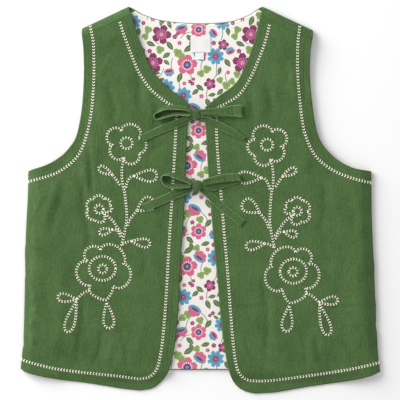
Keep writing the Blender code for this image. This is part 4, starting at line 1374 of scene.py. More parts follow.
# Stems. Columns: x, y
SPRAY_STEMS = [
    [(-80.6, 43.4), (-82.4, 31.5), (-81.9, 18.4), (-79.6, 8), (-78.2, -3), (-77.3, -15.8),
     (-78.6, -29), (-80.9, -39.9), (-82.8, -47.6)],
    [(-92.4, 26.6), (-88.4, 21.4), (-84.2, 15.2)],
    [(-69.6, 25.2), (-73.6, 23.8), (-76.8, 18.6), (-78.4, 12.6)],
    [(-102.6, -13.4), (-97.6, -16.6), (-91.6, -22.2), (-87.6, -28.4), (-82.6, -35.2)],
    [(-66.4, -11), (-70.8, -16.4), (-74.6, -21.6), (-76.4, -27.4)],
    [(-92.4, -31.2), (-87.2, -32), (-83.6, -38.4)],
    [(-72.2, -43.2), (-76.8, -44), (-81.8, -46.6)],
    [(-115.6, -94.2), (-123.2, -98), (-129.8, -104.4)],
]
# Looped leaves and the round bud. Columns: base x, y, tip x, y, width
SPRAY_LEAVES = [
    (-92.4, 26.6, -106.6, 34.2, 6.8),
    (-69.6, 25.2, -45.6, 25.4, 12.2),
    (-66.4, -11, -49.6, -0.4, 14.2),
    (-92.4, -31.2, -106, -34.4, 7),
    (-72.2, -43.2, -52.8, -46.2, 9),
    (-129.8, -104.4, -149.4, -101.6, 8.4),
    (-130.2, -106.6, -139.6, -138.4, 9.8),
    (-98.4, -108, -95.2, -134.6, 11),
]
LEAF_FULLEST = 0.588
# How the right spray differs from a mirror of the left. Columns: y, shift across, shift along
MIRROR_SHIFTS = [(-140, -5.2, -3.2), (-75, -5.3, -3.1), (-10, -4.4, -2.1), (60, -7.4, -1.6)]

# %% Draw the sprays
SPRAY_STEP = 1.0
PETAL_POINTS = 16
RING_POINTS = 40
LEAF_POINTS = 26


def flower_line(centre_x, centre_y, notches, petals, pointed=None):
    """A flower's edge: rounded petals between notches, one of them pointed if asked."""
    points = []
    for index, (angle, radius) in enumerate(notches):
        next_angle, next_radius = notches[(index + 1) % len(notches)]
        if next_angle > angle:
            next_angle -= 360
        for share in np.linspace(0.0, 1.0, PETAL_POINTS, endpoint=False):
            low = radius + (next_radius - radius) * share
            bulge = math.sin(math.pi * share) ** PETAL_ROUNDNESS
            if index == pointed:
                bulge = float(np.interp(share, POINTED_SHARES, POINTED_BULGE))
            away = low + (petals[index] - low) * bulge
            turned = math.radians(angle + (next_angle - angle) * share)
            points.append((centre_x + away * math.cos(turned), centre_y + away * math.sin(turned)))
    return np.array([*points, points[0]])


def ring_line(x, y, wide, tall):
    turned = np.linspace(0.0, 2 * math.pi, RING_POINTS)
    return np.stack([x + wide * np.cos(turned), y + tall * np.sin(turned)], axis=1)


def leaf_line(base_x, base_y, tip_x, tip_y, width):
    """A drop-shaped loop: pointed at its base, widest past the middle, round at its tip."""
    run = np.array([tip_x - base_x, tip_y - base_y])
    side = np.array([-run[1], run[0]]) / np.linalg.norm(run)
    shares = 1.0 - np.linspace(1.0, 0.0, LEAF_POINTS) ** 1.6
    half = width / 2 * shares ** 0.9 * np.sqrt(1.0 - shares ** 3) / LEAF_FULLEST
    there = np.array([base_x, base_y]) + shares[:, None] * run
    return np.vstack([there + side * half[:, None], (there - side * half[:, None])[::-1][1:]])


def mirrored(line):
    """The line on the right front: mirrored, then shifted as that spray is."""
    rows = np.array(MIRROR_SHIFTS)
    across = np.interp(line[:, 1], rows[:, 0], rows[:, 1])
    along = np.interp(line[:, 1], rows[:, 0], rows[:, 2])
    return np.stack([-line[:, 0] + across, line[:, 1] + along], axis=1)


def spray_lines():
    """Every line of the left spray, its stems first."""
    lines = [smooth_curve(rows, SPRAY_STEP) for rows in SPRAY_STEMS]
    for name, *flower in SPRAY_FLOWERS:
        lines.append(flower_line(*flower, POINTED_PETAL[1] if name == POINTED_PETAL[0] else None))
    lines += [ring_line(*row) for row in SPRAY_RINGS]
    lines += [leaf_line(*row) for row in SPRAY_LEAVES]
    return [*lines, flower_line(*CURLED_FLOWER)]


SPRAYS = {"left": spray_lines(), "right": [mirrored(line) for line in spray_lines()]}
BORDERS = {side: [smooth_curve(table[side], LINE_STEP)
                  for table in (ARMHOLE_BORDERS, NECK_BORDERS, FRONT_BORDERS)] for side in OUT}
for side in OUT:
    print(side, "borders", round(sum(run_lengths(line)[-1] for line in BORDERS[side])),
          "mm, spray", round(sum(run_lengths(line)[-1] for line in SPRAYS[side])), "mm")

# %% [markdown]
# ## The fronts
#
# Each front is two layers, green outside and print inside, turned out and stitched twice
# round its free edges. It runs from the shoulder seam, round the neck and the hem corner, to
# the side fold, where it bends down to meet the back.

# %% Make the fronts
FRONT_SPACING = 2.3
WRINKLE_SPACING = 1.0

# Where a side fold's small wrinkles lie: lowest and highest, and from inside the fold to past it
WRINKLE_HEIGHTS = (-156.0, -44.0)
WRINKLE_PAST = (-9.0, 7.0)
SEWN_STEP = 4.0


def side_rows(side):
    """Close rows of pattern points for the small wrinkles of a side fold."""
    heights, past = np.meshgrid(np.arange(*WRINKLE_HEIGHTS, WRINKLE_SPACING),
                                np.arange(*WRINKLE_PAST, WRINKLE_SPACING))
    out = OUT[side]
    x = side_x(np.full(heights.size, out), heights.ravel()) + out * (past.ravel() - FOLD_RADIUS)
    return np.stack([x, heights.ravel()], axis=1)


fronts = {}
front_cloths = {}
for side, lines in FRONT_LINES.items():
    panel = Panel(lines, ("neck", "front", "hem", "armhole"), place_front, WALL)
    panel.sewn = [evenly(line, SEWN_STEP)[0] for line in [*BORDERS[side], *SPRAYS[side]]]
    fronts[side] = panel
    front_cloths[side] = panel.cloth(f"front_{side}_cloth", FRONT_SPACING, [green_cloth, printed_cotton],
                                     side_rows(side))

# %% [markdown]
# ## The back and its lining
#
# The back is cut whole. Its outer face lies on the table, and at both shoulders and both
# sides it comes up round a fold to the seams. Inside lies the printed lining, stitched along
# the neck. Both are made the same way as the fronts, with a wider lattice, since they are
# smoother.

# %% Make the back
BACK_SPACING = 3.4
BACK_RAISE = 0.42

back_panel = Panel(BACK_LINES, ("hem", "right_armhole", "right_arm_end", "right_neck_end", "neck",
                                "left_neck_end", "left_arm_end", "left_armhole"),
                   place_back, WALL, BACK_RAISE)
back_cloth = back_panel.cloth("back_cloth", BACK_SPACING, [green_cloth], SHOULDER_ROWS)

# %% Make the lining
LINING_SPACING = 3.2
LINING_RINGS = (0.2, 0.6, 1.2, 2.4, 3.0, 3.6, 5.0, 6.5)

lining_panel = Panel(LINING_LINES, ("hem", "right_hole", "neck", "left_hole"), place_lining, LINING_WALL)
lining_cloth = lining_panel.cloth("back_lining_cloth", LINING_SPACING, [printed_cotton], rings=LINING_RINGS)

# %% [markdown]
# ## Thread
#
# Embroidery thread is a soft twist of strands, so a stitch is a plump spindle that catches
# light along its top. One strand is modelled by hand from a sphere: its ends are pulled out
# and thinned in edit mode. Two of them make the v of one stitch. A topstitch is a shorter,
# thinner spindle. Both have only a few dozen faces, because there are thousands.

# %% Thread materials
TWIST = 9.0


def thread(name, light, dark, sheen):
    """Twisted cotton thread: fine slanting bands, lighter on the twist's ridges and darker in its grooves as
    painted shade, with uneven tone over them.
    """
    made, tree, shader = new_material(name, Roughness=0.6, Specular_IOR_Level=0.3, Sheen_Weight=sheen)
    place = cut_place(tree)
    x, y = parts(place)
    twist = maths("SINE", x * TWIST + y * TWIST) * 0.5 + 0.5
    # The twist's ridges are painted lighter and its grooves darker, as shade; the noise is uneven tone.
    share = maths("ADD", twist * 0.35, noise(place, 0.35, 1.0) * 0.6, clamp=True)
    set_looks(shader, mixed(share, dark, light), twist, 0.08, strength=0.6)
    return made


cream_thread = thread("cream embroidery thread", dye(255, 251, 240), dye(246, 235, 216), 0.25)
green_thread = thread("green sewing thread", dye(98, 130, 78), dye(74, 103, 58), 0.1)
white_thread = thread("white sewing thread", dye(246, 242, 236), dye(226, 219, 210), 0.1)
print("threads", cream_thread.name, green_thread.name, white_thread.name)

# %% One strand, by hand
ORIGIN = (0.0, 0.0, 0.0)
SPINDLE_RISE = 0.35
STITCH_PITCH = 3.1
SPRAY_PITCH = 2.95
SPRAY_SIZE = 0.94
STRAND_LENGTH = 2.42
STRAND_WIDTH = 1.0
STRAND_HEIGHT = 1.2
STRAND_ANGLE = math.radians(44)
STRAND_APART = 0.71
TOPSTITCH_SIZE = (2.3, 0.55, 0.42)


def lying_sphere(segments, rings, radius):
    """A sphere with its poles along X, left in edit mode with all of it selected."""
    nothing_selected()
    bpy.ops.mesh.primitive_uv_sphere_add(segments=segments, ring_count=rings, radius=radius)
    bpy.ops.object.mode_set(mode="EDIT")
    bpy.ops.mesh.select_all(action="SELECT")
    bpy.ops.transform.rotate(value=math.pi / 2, orient_axis="Y", center_override=ORIGIN)
    return bpy.context.object


def vertex_places(mesh):
    return np.array([tuple(vertex.co) for vertex in mesh.vertices])


def spindle(sides, rings, length, width, height):
    """Points and faces of a plump spindle along X, lying on Z 0."""
    made = lying_sphere(sides, rings, 0.5)
    bpy.ops.transform.resize(value=(length, width, height), center_override=ORIGIN)
    bpy.ops.transform.translate(value=(0.0, 0.0, height * SPINDLE_RISE))
    bpy.ops.mesh.normals_make_consistent(inside=False)
    bpy.ops.object.mode_set(mode="OBJECT")
    mesh = made.data
    points, faces = vertex_places(mesh), [tuple(face.vertices) for face in mesh.polygons]
    bpy.data.objects.remove(made, do_unlink=True)
    bpy.data.meshes.remove(mesh)
    return points, faces


def v_stitch():
    """Two strands that meet at a tip ahead and part behind it."""
    points, faces = spindle(6, 5, STRAND_LENGTH, STRAND_WIDTH, STRAND_HEIGHT)
    both = []
    for hand in (1.0, -1.0):
        x, y = turned_by(points[:, 0], points[:, 1], hand * -STRAND_ANGLE)
        both.append(np.stack([x, y + hand * STRAND_APART, points[:, 2]], axis=1))
    count = len(points)
    return np.vstack(both), faces + [tuple(index + count for index in face) for face in faces]


CHAIN = v_stitch()
SMALL_CHAIN = (CHAIN[0] * SPRAY_SIZE, CHAIN[1])
TOPSTITCH = spindle(5, 4, *TOPSTITCH_SIZE)
print("v stitch", len(CHAIN[1]), "faces, topstitch", len(TOPSTITCH[1]), "faces")

# %% Work a stitch along lines
LINE_END = 0.2
TWIST_RANGE = 90.0
BORDER_UNEVEN = 0.05
SPRAY_UNEVEN = 0.10
TOPSTITCH_UNEVEN = 0.02


def worked(name, panel, lines, template, pitch, material, uneven_by, seed, sunk=0.12):
    """Copies of one stitch along lines on a panel's face, joined in one mesh."""
    shape, faces = template
    draws = np.random.default_rng(seed)
    pattern, out, all_faces, grain = [], [], [], []
    count = 0
    for line in lines:
        for place, way in zip(*evenly(line, pitch, LINE_END)):
            turn = draws.normal(0.0, uneven_by)
            size = 1.0 + draws.normal(0.0, uneven_by / 2)
            way = np.array(turned_by(*way, turn))
            across = np.array([-way[1], way[0]])
            pattern.append(place + size * (shape[:, :1] * way + shape[:, 1:2] * across))
            out.append(shape[:, 2] * size - sunk)
            grain.append(shape[:, :2] + draws.uniform(0.0, TWIST_RANGE, 2))
            all_faces.extend(tuple(index + count for index in face) for face in faces)
            count += len(shape)
    points = panel.on_face(np.vstack(pattern), np.concatenate(out))
    made = cloth_object(name, points, all_faces, [material], np.zeros(len(all_faces)), np.vstack(grain))
    print(name, count // len(shape), "stitches,", len(all_faces), "faces")
    return made

# %% Chain borders and sprays
front_stitches = {}
for seed, (side, panel) in enumerate(fronts.items()):
    front_stitches[side] = [
        worked(f"border_stitches_{side}", panel, BORDERS[side], CHAIN, STITCH_PITCH, cream_thread,
               BORDER_UNEVEN, 31 + seed),
        worked(f"spray_stitches_{side}", panel, SPRAYS[side], SMALL_CHAIN, SPRAY_PITCH, cream_thread,
               SPRAY_UNEVEN, 41 + seed),
    ]

# %% [markdown]
# The borders go on over the folds: the armhole ones onto the back, and the hem one along the
# back's hem. There they lie between the cloth and the table, so the back is raised by the
# stitch's height.

# %% Chain borders of the back
BORDER_INSET = 1.0
BORDER_DROP = 1.5
SHOULDER_RISE = 3.0
BACK_CHAIN_SUNK = 0.80


def back_borders():
    """Where the borders run on the back: round the left and the right armhole, and along the hem."""
    lines, ends = [], []
    for side, out in OUT.items():
        table = np.array(ARMHOLE_BORDERS[side])[::-1]
        seam = seam_line(side)
        start = (seam[0][0] - out * BORDER_INSET, table[1][1] - BORDER_INSET)
        top = (table[-1][0], table[-1][1] + SHOULDER_RISE)
        rows = [start, *(table[2:-1] - (out * BORDER_INSET, BORDER_DROP)), top]
        lines.append(smooth_curve(rows, LINE_STEP))
        ends.append((seam[-1][0] - out * BORDER_INSET, BACK_HEM_BORDER_Y))
    return [*lines, smooth_curve(ends, LINE_STEP)]


back_stitches = [worked("back_border_stitches", back_panel, back_borders(), CHAIN, STITCH_PITCH,
                        cream_thread, BORDER_UNEVEN, 51, BACK_CHAIN_SUNK)]

# %% Topstitch rows
TOPSTITCH_PITCH = 2.9
TOPSTITCH_SUNK = 0.10
LINING_ROW = 2.2
LINING_SUNK = 0.16
STILL_CLEAR = 0.97


def offset_lines(panel, lines, distance):
    """Lines moved into the panel by a distance, kept where they lie that far from every edge."""
    kept = []
    for line in lines:
        moved = evenly(line, LINE_STEP)[0]
        ways = np.gradient(moved, axis=0)
        ways /= np.linalg.norm(ways, axis=1)[:, None]
        inward = np.stack([-ways[:, 1], ways[:, 0]], axis=1) * np.sign(signed_area(panel.outline))
        moved = moved + inward * distance
        clear = (panel.edge_distance(moved) > distance * STILL_CLEAR) & inside(panel.outline, moved)
        if np.count_nonzero(clear) > 3:
            kept.append(moved[clear])
    return kept


def topstitch(name, panel, material, seed, lines=None, sunk=TOPSTITCH_SUNK):
    """Topstitches along lines, or else along both stitched rows of a panel's free edges."""
    if lines is None:
        lines = [line for distance in STITCH_ROWS for line in offset_lines(panel, panel.free, distance)]
    return worked(name, panel, lines, TOPSTITCH, TOPSTITCH_PITCH, material, TOPSTITCH_UNEVEN, seed, sunk)


for seed, (side, panel) in enumerate(fronts.items()):
    front_stitches[side].append(topstitch(f"topstitch_{side}", panel, green_thread, 61 + seed))
back_stitches.append(topstitch("back_topstitch", back_panel, green_thread, 63))
lining_rows = offset_lines(lining_panel, [LINING_LINES["neck"]], LINING_ROW)
lining_stitches = [topstitch("lining_topstitch", lining_panel, white_thread, 64, lining_rows, LINING_SUNK)]

# %% [markdown]
# ## The ties
#
# Four narrow ties close the fronts, two to a bow. Each is a strip folded in four and stitched
# along one edge, so it is soft, a little puckered and thicker at the rims. A row of a table is
# one place along a strip: where its middle is, how high, how it leans and how wide it is. The
# strip is swept through its rows and pleated where the knot grips it.

# %% Tables of the ties
# Columns: x, y, height above the front, plan direction of the width, lean of the width, width
TIES = {
    "upper_loop_left": [
        (-9.4, 93.4, 3.8, 90, 130, 5.6), (-18, 96, 4.2, 95, 138, 6.8), (-29, 97.2, 4, 96, 136, 7.6),
        (-39, 95.8, 4, 104, 122, 7.8), (-46, 91.6, 4, 140, 96, 7.8), (-48.4, 88.2, 4, 180, 84, 7.8),
        (-46.6, 85.4, 4, 240, 74, 7.6), (-42, 85.8, 4, 262, 68, 7.2), (-34, 88.6, 3.6, 268, 62, 6.4),
        (-24, 90.4, 3.5, 268, 60, 6), (-10.4, 90, 3.5, 268, 60, 5.4)],
    "upper_loop_right": [
        (0.2, 89.8, 3.4, 92, 4, 6.8), (14, 91, 2.6, 92, 3, 8.4), (28, 91.8, 1.4, 92, 2, 9.8),
        (39, 92.2, 1.1, 92, 0, 11.4), (43, 92.7, 2.1, 92, 0, 12.2), (43.6, 93, 3, 92, 0, 12.6),
        (42.6, 93.3, 3.9, 92, 0, 12.6), (38, 93.5, 4.5, 92, 0, 12.2), (28, 93.2, 4.7, 92, 0, 10.4),
        (14, 92.4, 4.9, 92, 0, 8), (0.2, 92, 5, 92, 0, 6.2)],
    "upper_tail_left": [
        (-9.8, 86.4, 2.2, 96, 12, 5.8), (-18, 82.8, 2, 108, 12, 7.8), (-28, 79, 1.6, 114, 8, 8.2),
        (-40, 74.4, 1.3, 116, 4, 8.2), (-52, 69, 1.1, 118, 0, 8), (-62.6, 64.2, 1.1, 116, 0, 7.8)],
    "upper_tail_right": [
        (-0.5, 86.2, 1.6, 80, 14, 5.6), (10, 82.6, 2.2, 70, 18, 7.6), (22, 77, 2.5, 62, 16, 8.4),
        (34, 70.8, 2.1, 60, 12, 7.6), (46.8, 64.2, 1.4, 58, 6, 3.6)],
    "lower_loop_left": [
        (-8.6, 18.2, 3.4, 88, 128, 6), (-20, 23, 4, 76, 134, 7.2), (-31, 26.6, 3.9, 80, 122, 7.6),
        (-38.4, 26.2, 3.9, 130, 98, 7.6), (-40.6, 23.2, 3.9, 180, 84, 7.8),
        (-38.8, 18.8, 3.9, 214, 64, 7.6), (-33, 15.2, 3.7, 246, 50, 7.4), (-25, 14.2, 3.6, 262, 44, 7.2),
        (-10.2, 14.8, 4.2, 268, 40, 5.6)],
    "lower_loop_right": [
        (2.2, 15.8, 3.4, 84, 10, 6.2), (13, 13.8, 2.2, 84, 6, 8), (27, 17.8, 1.1, 102, 2, 8.2),
        (37.4, 21, 1.1, 106, 0, 7.8), (41.2, 22.6, 2.1, 108, 0, 7), (41.8, 23, 3, 108, 0, 6.8),
        (40.8, 23.8, 3.9, 108, 0, 7), (36, 24, 4.5, 102, 0, 8.2), (24, 23, 4.7, 100, 0, 8.4),
        (12, 20.6, 4.8, 104, 0, 7.4), (3.4, 18.4, 5, 104, 0, 6)],
    "lower_tail_left": [
        (-8.8, 12, 2, 100, 6, 6), (-20, 8.2, 1.5, 106, 4, 8.6), (-32, 3.6, 1.1, 112, 2, 9),
        (-46, -2.6, 1.1, 114, 0, 9), (-60.4, -8.6, 1.1, 112, 0, 8.4)],
    "lower_tail_right": [
        (0.9, 11, 1.3, 66, 4, 5.6), (10, 4.6, 1.1, 48, 2, 8), (20, -5, 1.1, 44, 0, 8.6),
        (32, -14.6, 1.1, 46, 0, 8.6), (44.6, -24.6, 1.1, 46, 0, 8.4)],
    "upper_root_left": [
        (-11.8, 90.6, -1, 90, 0, 8.4), (-9.9, 90.6, -0.9, 90, 0, 8.2)],
    "upper_root_right": [
        (4.5, 90.4, -1, 90, 0, 8.4), (2.4, 90.4, -0.9, 90, 0, 8.2), (0.15, 90.4, -0.8, 90, 0, 8)],
    "lower_root_left": [
        (-15.3, 15.8, -1, 90, 0, 8.6), (-12.2, 15.8, -0.9, 90, 0, 8.4), (-8.9, 15.8, -0.8, 90, 0, 8.2)],
    "lower_root_right": [
        (8.3, 16.6, -1, 90, 0, 8.6), (5.2, 16.6, -0.9, 90, 0, 8.4), (2, 16.6, -0.8, 90, 0, 8.2)],
}
# Knots. Columns: centre x, y, width, length, lowest and highest point above the front, turn
KNOTS = {
    "upper_knot": (-5, 90.4, 12.6, 10.8, -2.2, 5.3, 4),
    "lower_knot": (-3.4, 15.6, 13, 10.6, -2.2, 5.4, -10),
}
print("ties of", len(TIES), "strips and", len(KNOTS), "knots")

# %% Sweep the ties
TIE_STATIONS = {"loop": 110, "tail": 76, "root": 10}
TIE_AROUND = 28
TIE_SAMPLES = 60
TIE_SEAM = 0.62
TIE_SEAM_WIDTH = 0.07
TIE_GROOVE = 0.16
# The rims of a strip are thicker than its middle
TIE_MIDDLE = 0.72
TIE_RIM_PLACE = 0.86
TIE_RIM_WIDTH = 0.15
ROOT_PAST_KNOT = 9.0
PLEAT_REACH = 19.0
PLEAT_HEIGHT = 0.62
PUCKER_HEIGHT = 0.19
WIDTH_WAVE = 0.035


def signed_power(values, power):
    """Values from minus 1 to 1 pushed out towards the ends, which squares a round section."""
    return np.sign(values) * np.abs(values) ** power


def local_height(points, panel_side):
    """Height of the front under the bows at each point, in millimetres."""
    x, y = points.T
    return front_height(x, y, fronts[panel_side].edge_distance(points))


def height_under(place, panel_side):
    """Height of the front under a strip: the highest of its middle and its two edges."""
    plan, lean = np.radians(place[:, 3]), np.radians(place[:, 4])
    reach = (place[:, 5] / 2 * np.cos(lean))[:, None] * np.stack([np.cos(plan), np.sin(plan)], axis=1)
    heights = [local_height(place[:, :2] + share * reach, panel_side)
               for share in (-1.0, -0.5, 0.0, 0.5, 1.0)]
    middle = heights[2]
    return middle + (np.max(heights, axis=0) - middle) * np.clip(np.cos(lean), 0.0, 1.0)


TIE_TURN = np.linspace(0.0, 2 * math.pi, TIE_AROUND, endpoint=False)
TIE_OVER = signed_power(np.cos(TIE_TURN), 0.75)
TIE_RIM = np.exp(-((np.abs(TIE_OVER) - TIE_RIM_PLACE) / TIE_RIM_WIDTH) ** 2)
TIE_RIM = TIE_MIDDLE + (1.0 - TIE_MIDDLE) * TIE_RIM
TIE_THICK = TIE_WALL / 2 * signed_power(np.sin(TIE_TURN), 0.55) * TIE_RIM
TIE_THICK -= TIE_GROOVE * np.exp(-((TIE_OVER - TIE_SEAM) / TIE_SEAM_WIDTH) ** 2) * np.sign(TIE_THICK)

# %% Pleat the ties and make them
def tie_lift(grip, run, phases):
    """How far each point of one ring stands off the strip's middle: wall, pleats and puckers."""
    pleat = np.sin(TIE_OVER * 5.2 + phases[0]) + 0.5 * np.sin(TIE_OVER * 9.0 + phases[1])
    pucker = (np.sin(run * 1.9 + 1.3 * TIE_OVER + phases[2])
              + 0.7 * np.sin(run * 1.13 - TIE_OVER + phases[3])
              + 0.8 * np.sin(run * 0.37 + phases[4]))
    return (TIE_THICK + grip * PLEAT_HEIGHT * pleat
            + PUCKER_HEIGHT * pucker * (0.4 + 0.6 * np.abs(TIE_OVER)))


def tube_faces(rings, around):
    """Faces of a tube of rings of points, closed at both ends."""
    faces = [(ring * around + index, ring * around + (index + 1) % around,
              (ring + 1) * around + (index + 1) % around, (ring + 1) * around + index)
             for ring in range(rings - 1) for index in range(around)]
    faces.append(tuple(range(around))[::-1])
    faces.append(tuple(range((rings - 1) * around, rings * around)))
    return faces


def tie_cloth_piece(name, rows, seed):
    """One stretch of tie: a ring of points at each station of its table's smooth route."""
    kind, hand = name.split("_")[1:]
    count = TIE_STATIONS[kind]
    table = np.array(rows, float)
    run = run_lengths(table[:, :3])
    smooth = smooth_curve(np.column_stack([table, run]), run[-1] / TIE_SAMPLES)
    wanted = np.linspace(0.0, run[-1], count)
    place = np.array([np.interp(wanted, smooth[:, 6], smooth[:, column]) for column in range(6)]).T
    middles = place[:, :3] + height_under(place, hand)[:, None] * (0.0, 0.0, 1.0)
    ways = np.gradient(middles, axis=0)
    ways /= np.linalg.norm(ways, axis=1)[:, None]
    phases = np.random.default_rng(seed).uniform(0.0, 6.28, 6)
    along = run_lengths(middles)
    from_knot = {"loop": np.minimum(along, along[-1] - along), "tail": along,
                 "root": along[::-1] + ROOT_PAST_KNOT}[kind]
    points, flat, rims = [], [], []
    for index in range(count):
        plan, lean = np.radians(place[index, 3:5])
        across = np.array([math.cos(plan) * math.cos(lean), math.sin(plan) * math.cos(lean), math.sin(lean)])
        across -= ways[index] * (across @ ways[index])
        across /= np.linalg.norm(across)
        up = np.cross(ways[index], across)
        grip = math.exp(-(from_knot[index] / PLEAT_REACH) ** 2)
        wide = place[index, 5] / 2 * (1.0 + WIDTH_WAVE * math.sin(along[index] * 0.8 + phases[5]))
        lift = tie_lift(grip, along[index], phases)
        points.append(middles[index] + TIE_OVER[:, None] * wide * across + lift[:, None] * up)
        flat.append(np.stack([TIE_OVER * wide, np.full(TIE_AROUND, along[index])], axis=1))
        rims.append(np.stack([TIE_OVER, np.full(TIE_AROUND, along[index] / along[-1])], axis=1))
    faces = tube_faces(count, TIE_AROUND)
    made = cloth_object(f"{name}_cloth", np.vstack(points), faces, [tie_cloth], np.zeros(len(faces)),
                        np.vstack(flat))
    keep_map(made.data, "rim", np.vstack(rims))
    made["cut_length"], made["cut_width"] = float(along[-1]), float(np.mean(place[:, 5]))
    return made


tie_pieces = {name: tie_cloth_piece(name, rows, 70 + index)
              for index, (name, rows) in enumerate(TIES.items())}
print("ties", {name: round(piece["cut_length"]) for name, piece in tie_pieces.items()})

# %% [markdown]
# ## The knots
#
# A knot is the tie wrapped once round the gathered ends and pulled tight: a squarish pillow
# with creases that run in under the wrap. It starts as a sphere. In edit mode its sides are
# pressed square, and then each crease is pressed in by the distance of every point from it.

# %% Make the knots
KNOT_SEGMENTS = 56
KNOT_RINGS = 36
KNOT_SQUARENESS = 0.72
# Creases of the wrap. Columns: where across at the top, where across at the bottom, half width, depth
KNOT_CREASES = [(-0.66, -0.40, 0.10, 0.9), (-0.30, -0.06, 0.08, 0.5), (0.02, 0.30, 0.08, 0.55),
                (0.38, 0.62, 0.10, 0.9), (0.80, 0.70, 0.10, 0.5)]
CREASE_PULL = (0.4, 1.2, 1.4)
KNOT_WAIST = 0.10
KNOT_POINT = 2.2
KNOT_POINT_WIDTH = 2.0
MERGE_WITHIN = 0.01


def reshaped(made, name, placed, grain, material):
    """Name an object, move its vertices to their places in millimetres, and dress it."""
    made.name = made.data.name = name
    made.data.vertices.foreach_set("co", (placed * MM).astype(np.float32).ravel())
    for layer in list(made.data.uv_layers):
        made.data.uv_layers.remove(layer)
    keep_map(made.data, "cut", grain * MM)
    made.data.materials.append(material)


def knot_cloth(name, row):
    """A sphere made squarish, with the creases of the wrap pressed in and a point pulled down."""
    x, y, width, length, low, high, turn = row
    size = np.array([width, length, high - low])
    made = lying_sphere(KNOT_SEGMENTS, KNOT_RINGS, 1.0)
    bpy.ops.object.mode_set(mode="OBJECT")
    shaped = signed_power(vertex_places(made.data), KNOT_SQUARENESS)
    across, along, _ = shaped.T
    press_in = 0.25 * np.sin(along * 4.0 + 2.0 * across) * (np.abs(across) > 0.6)
    for start, end, half, depth in KNOT_CREASES:
        line = start + (end - start) * (along + 1.0) / 2.0
        press_in += depth * np.exp(-((across - line) / half) ** 2)
    waist = 1.0 - KNOT_WAIST * (1.0 - np.abs(along)) ** 2
    shaped = shaped * (1.0 - press_in[:, None] / size * CREASE_PULL) * size / 2
    across, along, up = shaped[:, 0] * waist, shaped[:, 1], shaped[:, 2]
    lowest = np.exp(-(across / KNOT_POINT_WIDTH) ** 2) * smoothstep(-along / length * 4.0 - 1.0)
    along = along - KNOT_POINT * lowest
    plan_x, plan_y = turned_by(across, along, math.radians(turn))
    middle = float(local_height(np.array([[x, y]]), "left" if x < 0 else "right")[0]) + (low + high) / 2
    reshaped(made, f"{name}_cloth", np.stack([x + plan_x, y + plan_y, middle + up], axis=1),
             np.stack([across, along + up], axis=1), tie_cloth)
    nothing_selected()
    made.select_set(True)
    bpy.context.view_layer.objects.active = made
    bpy.ops.object.mode_set(mode="EDIT")
    bpy.ops.mesh.select_all(action="SELECT")
    bpy.ops.mesh.remove_doubles(threshold=MERGE_WITHIN * MM)
    bpy.ops.mesh.normals_make_consistent(inside=False)
    bpy.ops.object.mode_set(mode="OBJECT")
    made.data.shade_smooth()
    return made


knots = {name: knot_cloth(name, row) for name, row in KNOTS.items()}
print("knots", [len(piece.data.polygons) for piece in knots.values()], "faces")

# %% [markdown]
# ## The label
#
# A woven satin label is sewn in at the back neck, and a small tab hangs out from under it.
# Both stay bare. Each starts as a cube. In edit mode it is pressed to the label's size and
# cut across into strips, its rim is rounded, and then it is eased over the lining's surface.

# %% Make the label and the tab
# Columns: x, y, width, length, thickness, cuts across
LABELS = {"label": (0.1, 163.4, 21.0, 16.8, 0.7, 20), "size_tab": (-1.0, 151.2, 9.4, 7.2, 0.5, 12)}
ROUND_OFF = 0.45
ROUND_REACH = 0.35
LEAST_DRAPE = -0.1

satin, satin_tree, satin_shader = new_material("white woven satin", Roughness=0.5, Sheen_Weight=0.15)
satin_weave = use_group(WEAVE, Place=cut_place(satin_tree), Thread=0.22, Slub=0.2)
# The satin's tone follows its weave's painted shade: lighter on the threads' crowns.
satin_tone = maths("MULTIPLY_ADD", satin_weave["Shade"], 0.5, 0.5, clamp=True)
set_looks(satin_shader, mixed(satin_tone, dye(217, 215, 215), dye(232, 230, 230)),
          satin_weave["Height"], 0.05)


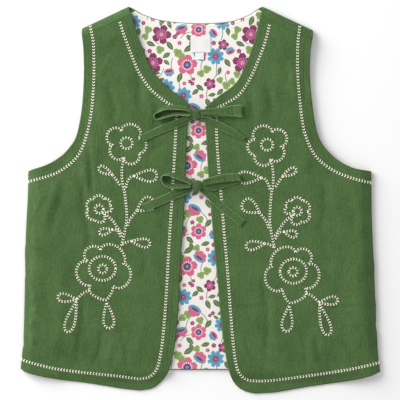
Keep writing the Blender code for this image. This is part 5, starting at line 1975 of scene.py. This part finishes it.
def label_cloth(name, row):
    """A thin block with rounded rims, eased over the lining and lifting at its lower end."""
    x, y, width, length, thickness, cuts = row
    nothing_selected()
    bpy.ops.mesh.primitive_cube_add(size=1.0)
    made = bpy.context.object
    bpy.ops.object.mode_set(mode="EDIT")
    bpy.ops.mesh.select_all(action="SELECT")
    bpy.ops.mesh.subdivide(number_cuts=cuts)
    bpy.ops.transform.resize(value=(width * MM, length * MM, thickness * MM), center_override=ORIGIN)
    bpy.ops.object.mode_set(mode="OBJECT")
    across, along, up = (vertex_places(made.data) / MM).T
    edge = np.minimum(width / 2 - np.abs(across), length / 2 - np.abs(along))
    drape = (0.16 * np.sin(across * 0.42 + 0.6) * np.cos(along * 0.25)
             + 0.25 * smoothstep((-along / length - 0.15) * 2.5))
    height = (LINING_TOP + SEAM_GAP + thickness / 2 + up * (1.0 - ROUND_OFF * np.exp(-edge / ROUND_REACH))
              + np.maximum(drape, LEAST_DRAPE))
    placed = np.stack([x + across, y + along, height], axis=1)
    reshaped(made, f"{name}_cloth", placed, placed[:, :2], satin)
    made.data.shade_smooth()
    made.data.set_sharp_from_angle(angle=math.radians(60))
    return made


labels = {name: label_cloth(name, row) for name, row in LABELS.items()}
print("label and tab", sum(len(piece.data.polygons) for piece in labels.values()), "faces")

# %% [markdown]
# ## What each piece is
#
# Last, every piece is told what it rides on, which finish it takes, which imported solid it
# stands for, and what its cloth was cut to before it was sewn and laid down.

# %% Ride and replace
LEAST_FLAT = 10.1
LEAST_AREA_SHARE = 0.31


def cut_size(lines):
    """Width and length of a flat outline, in metres."""
    outline = joined(*lines.values())
    wide, tall = outline.max(axis=0) - outline.min(axis=0)
    return float(wide * MM), float(tall * MM)


def dress(piece, node, sewn_on=()):
    """The piece and what is sewn on it ride on the garment's one body, and the solid it stands for is
    hidden.
    """
    for part in (piece, *sewn_on):
        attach(part, "root")
    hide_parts(node)


for side in OUT:
    piece = front_cloths[side]
    dress(piece, f"front_{side}", front_stitches[side])
    cut_size(FRONT_LINES[side])
dress(back_cloth, "back", back_stitches)
cut_size(BACK_LINES)
dress(lining_cloth, "back_lining", lining_stitches)
cut_size(LINING_LINES)
for name, piece in tie_pieces.items():
    dress(piece, name)
    kind, side = name.split("_")[1:]
    least = LEAST_FLAT * MM
    flat = (least, least if kind == "root" else max(least, piece["cut_length"] * MM))
    area = piece["cut_length"] * piece["cut_width"] * MM * MM
    "folded" if kind == "loop" else "laid"
    max(area, LEAST_AREA_SHARE * flat[0] * flat[1])
for name, piece in knots.items():
    dress(piece, name)
for name, piece in labels.items():
    dress(piece, name)


print("declared", len(tie_pieces), "strips,", len(knots), "knots and", len(labels), "labels")
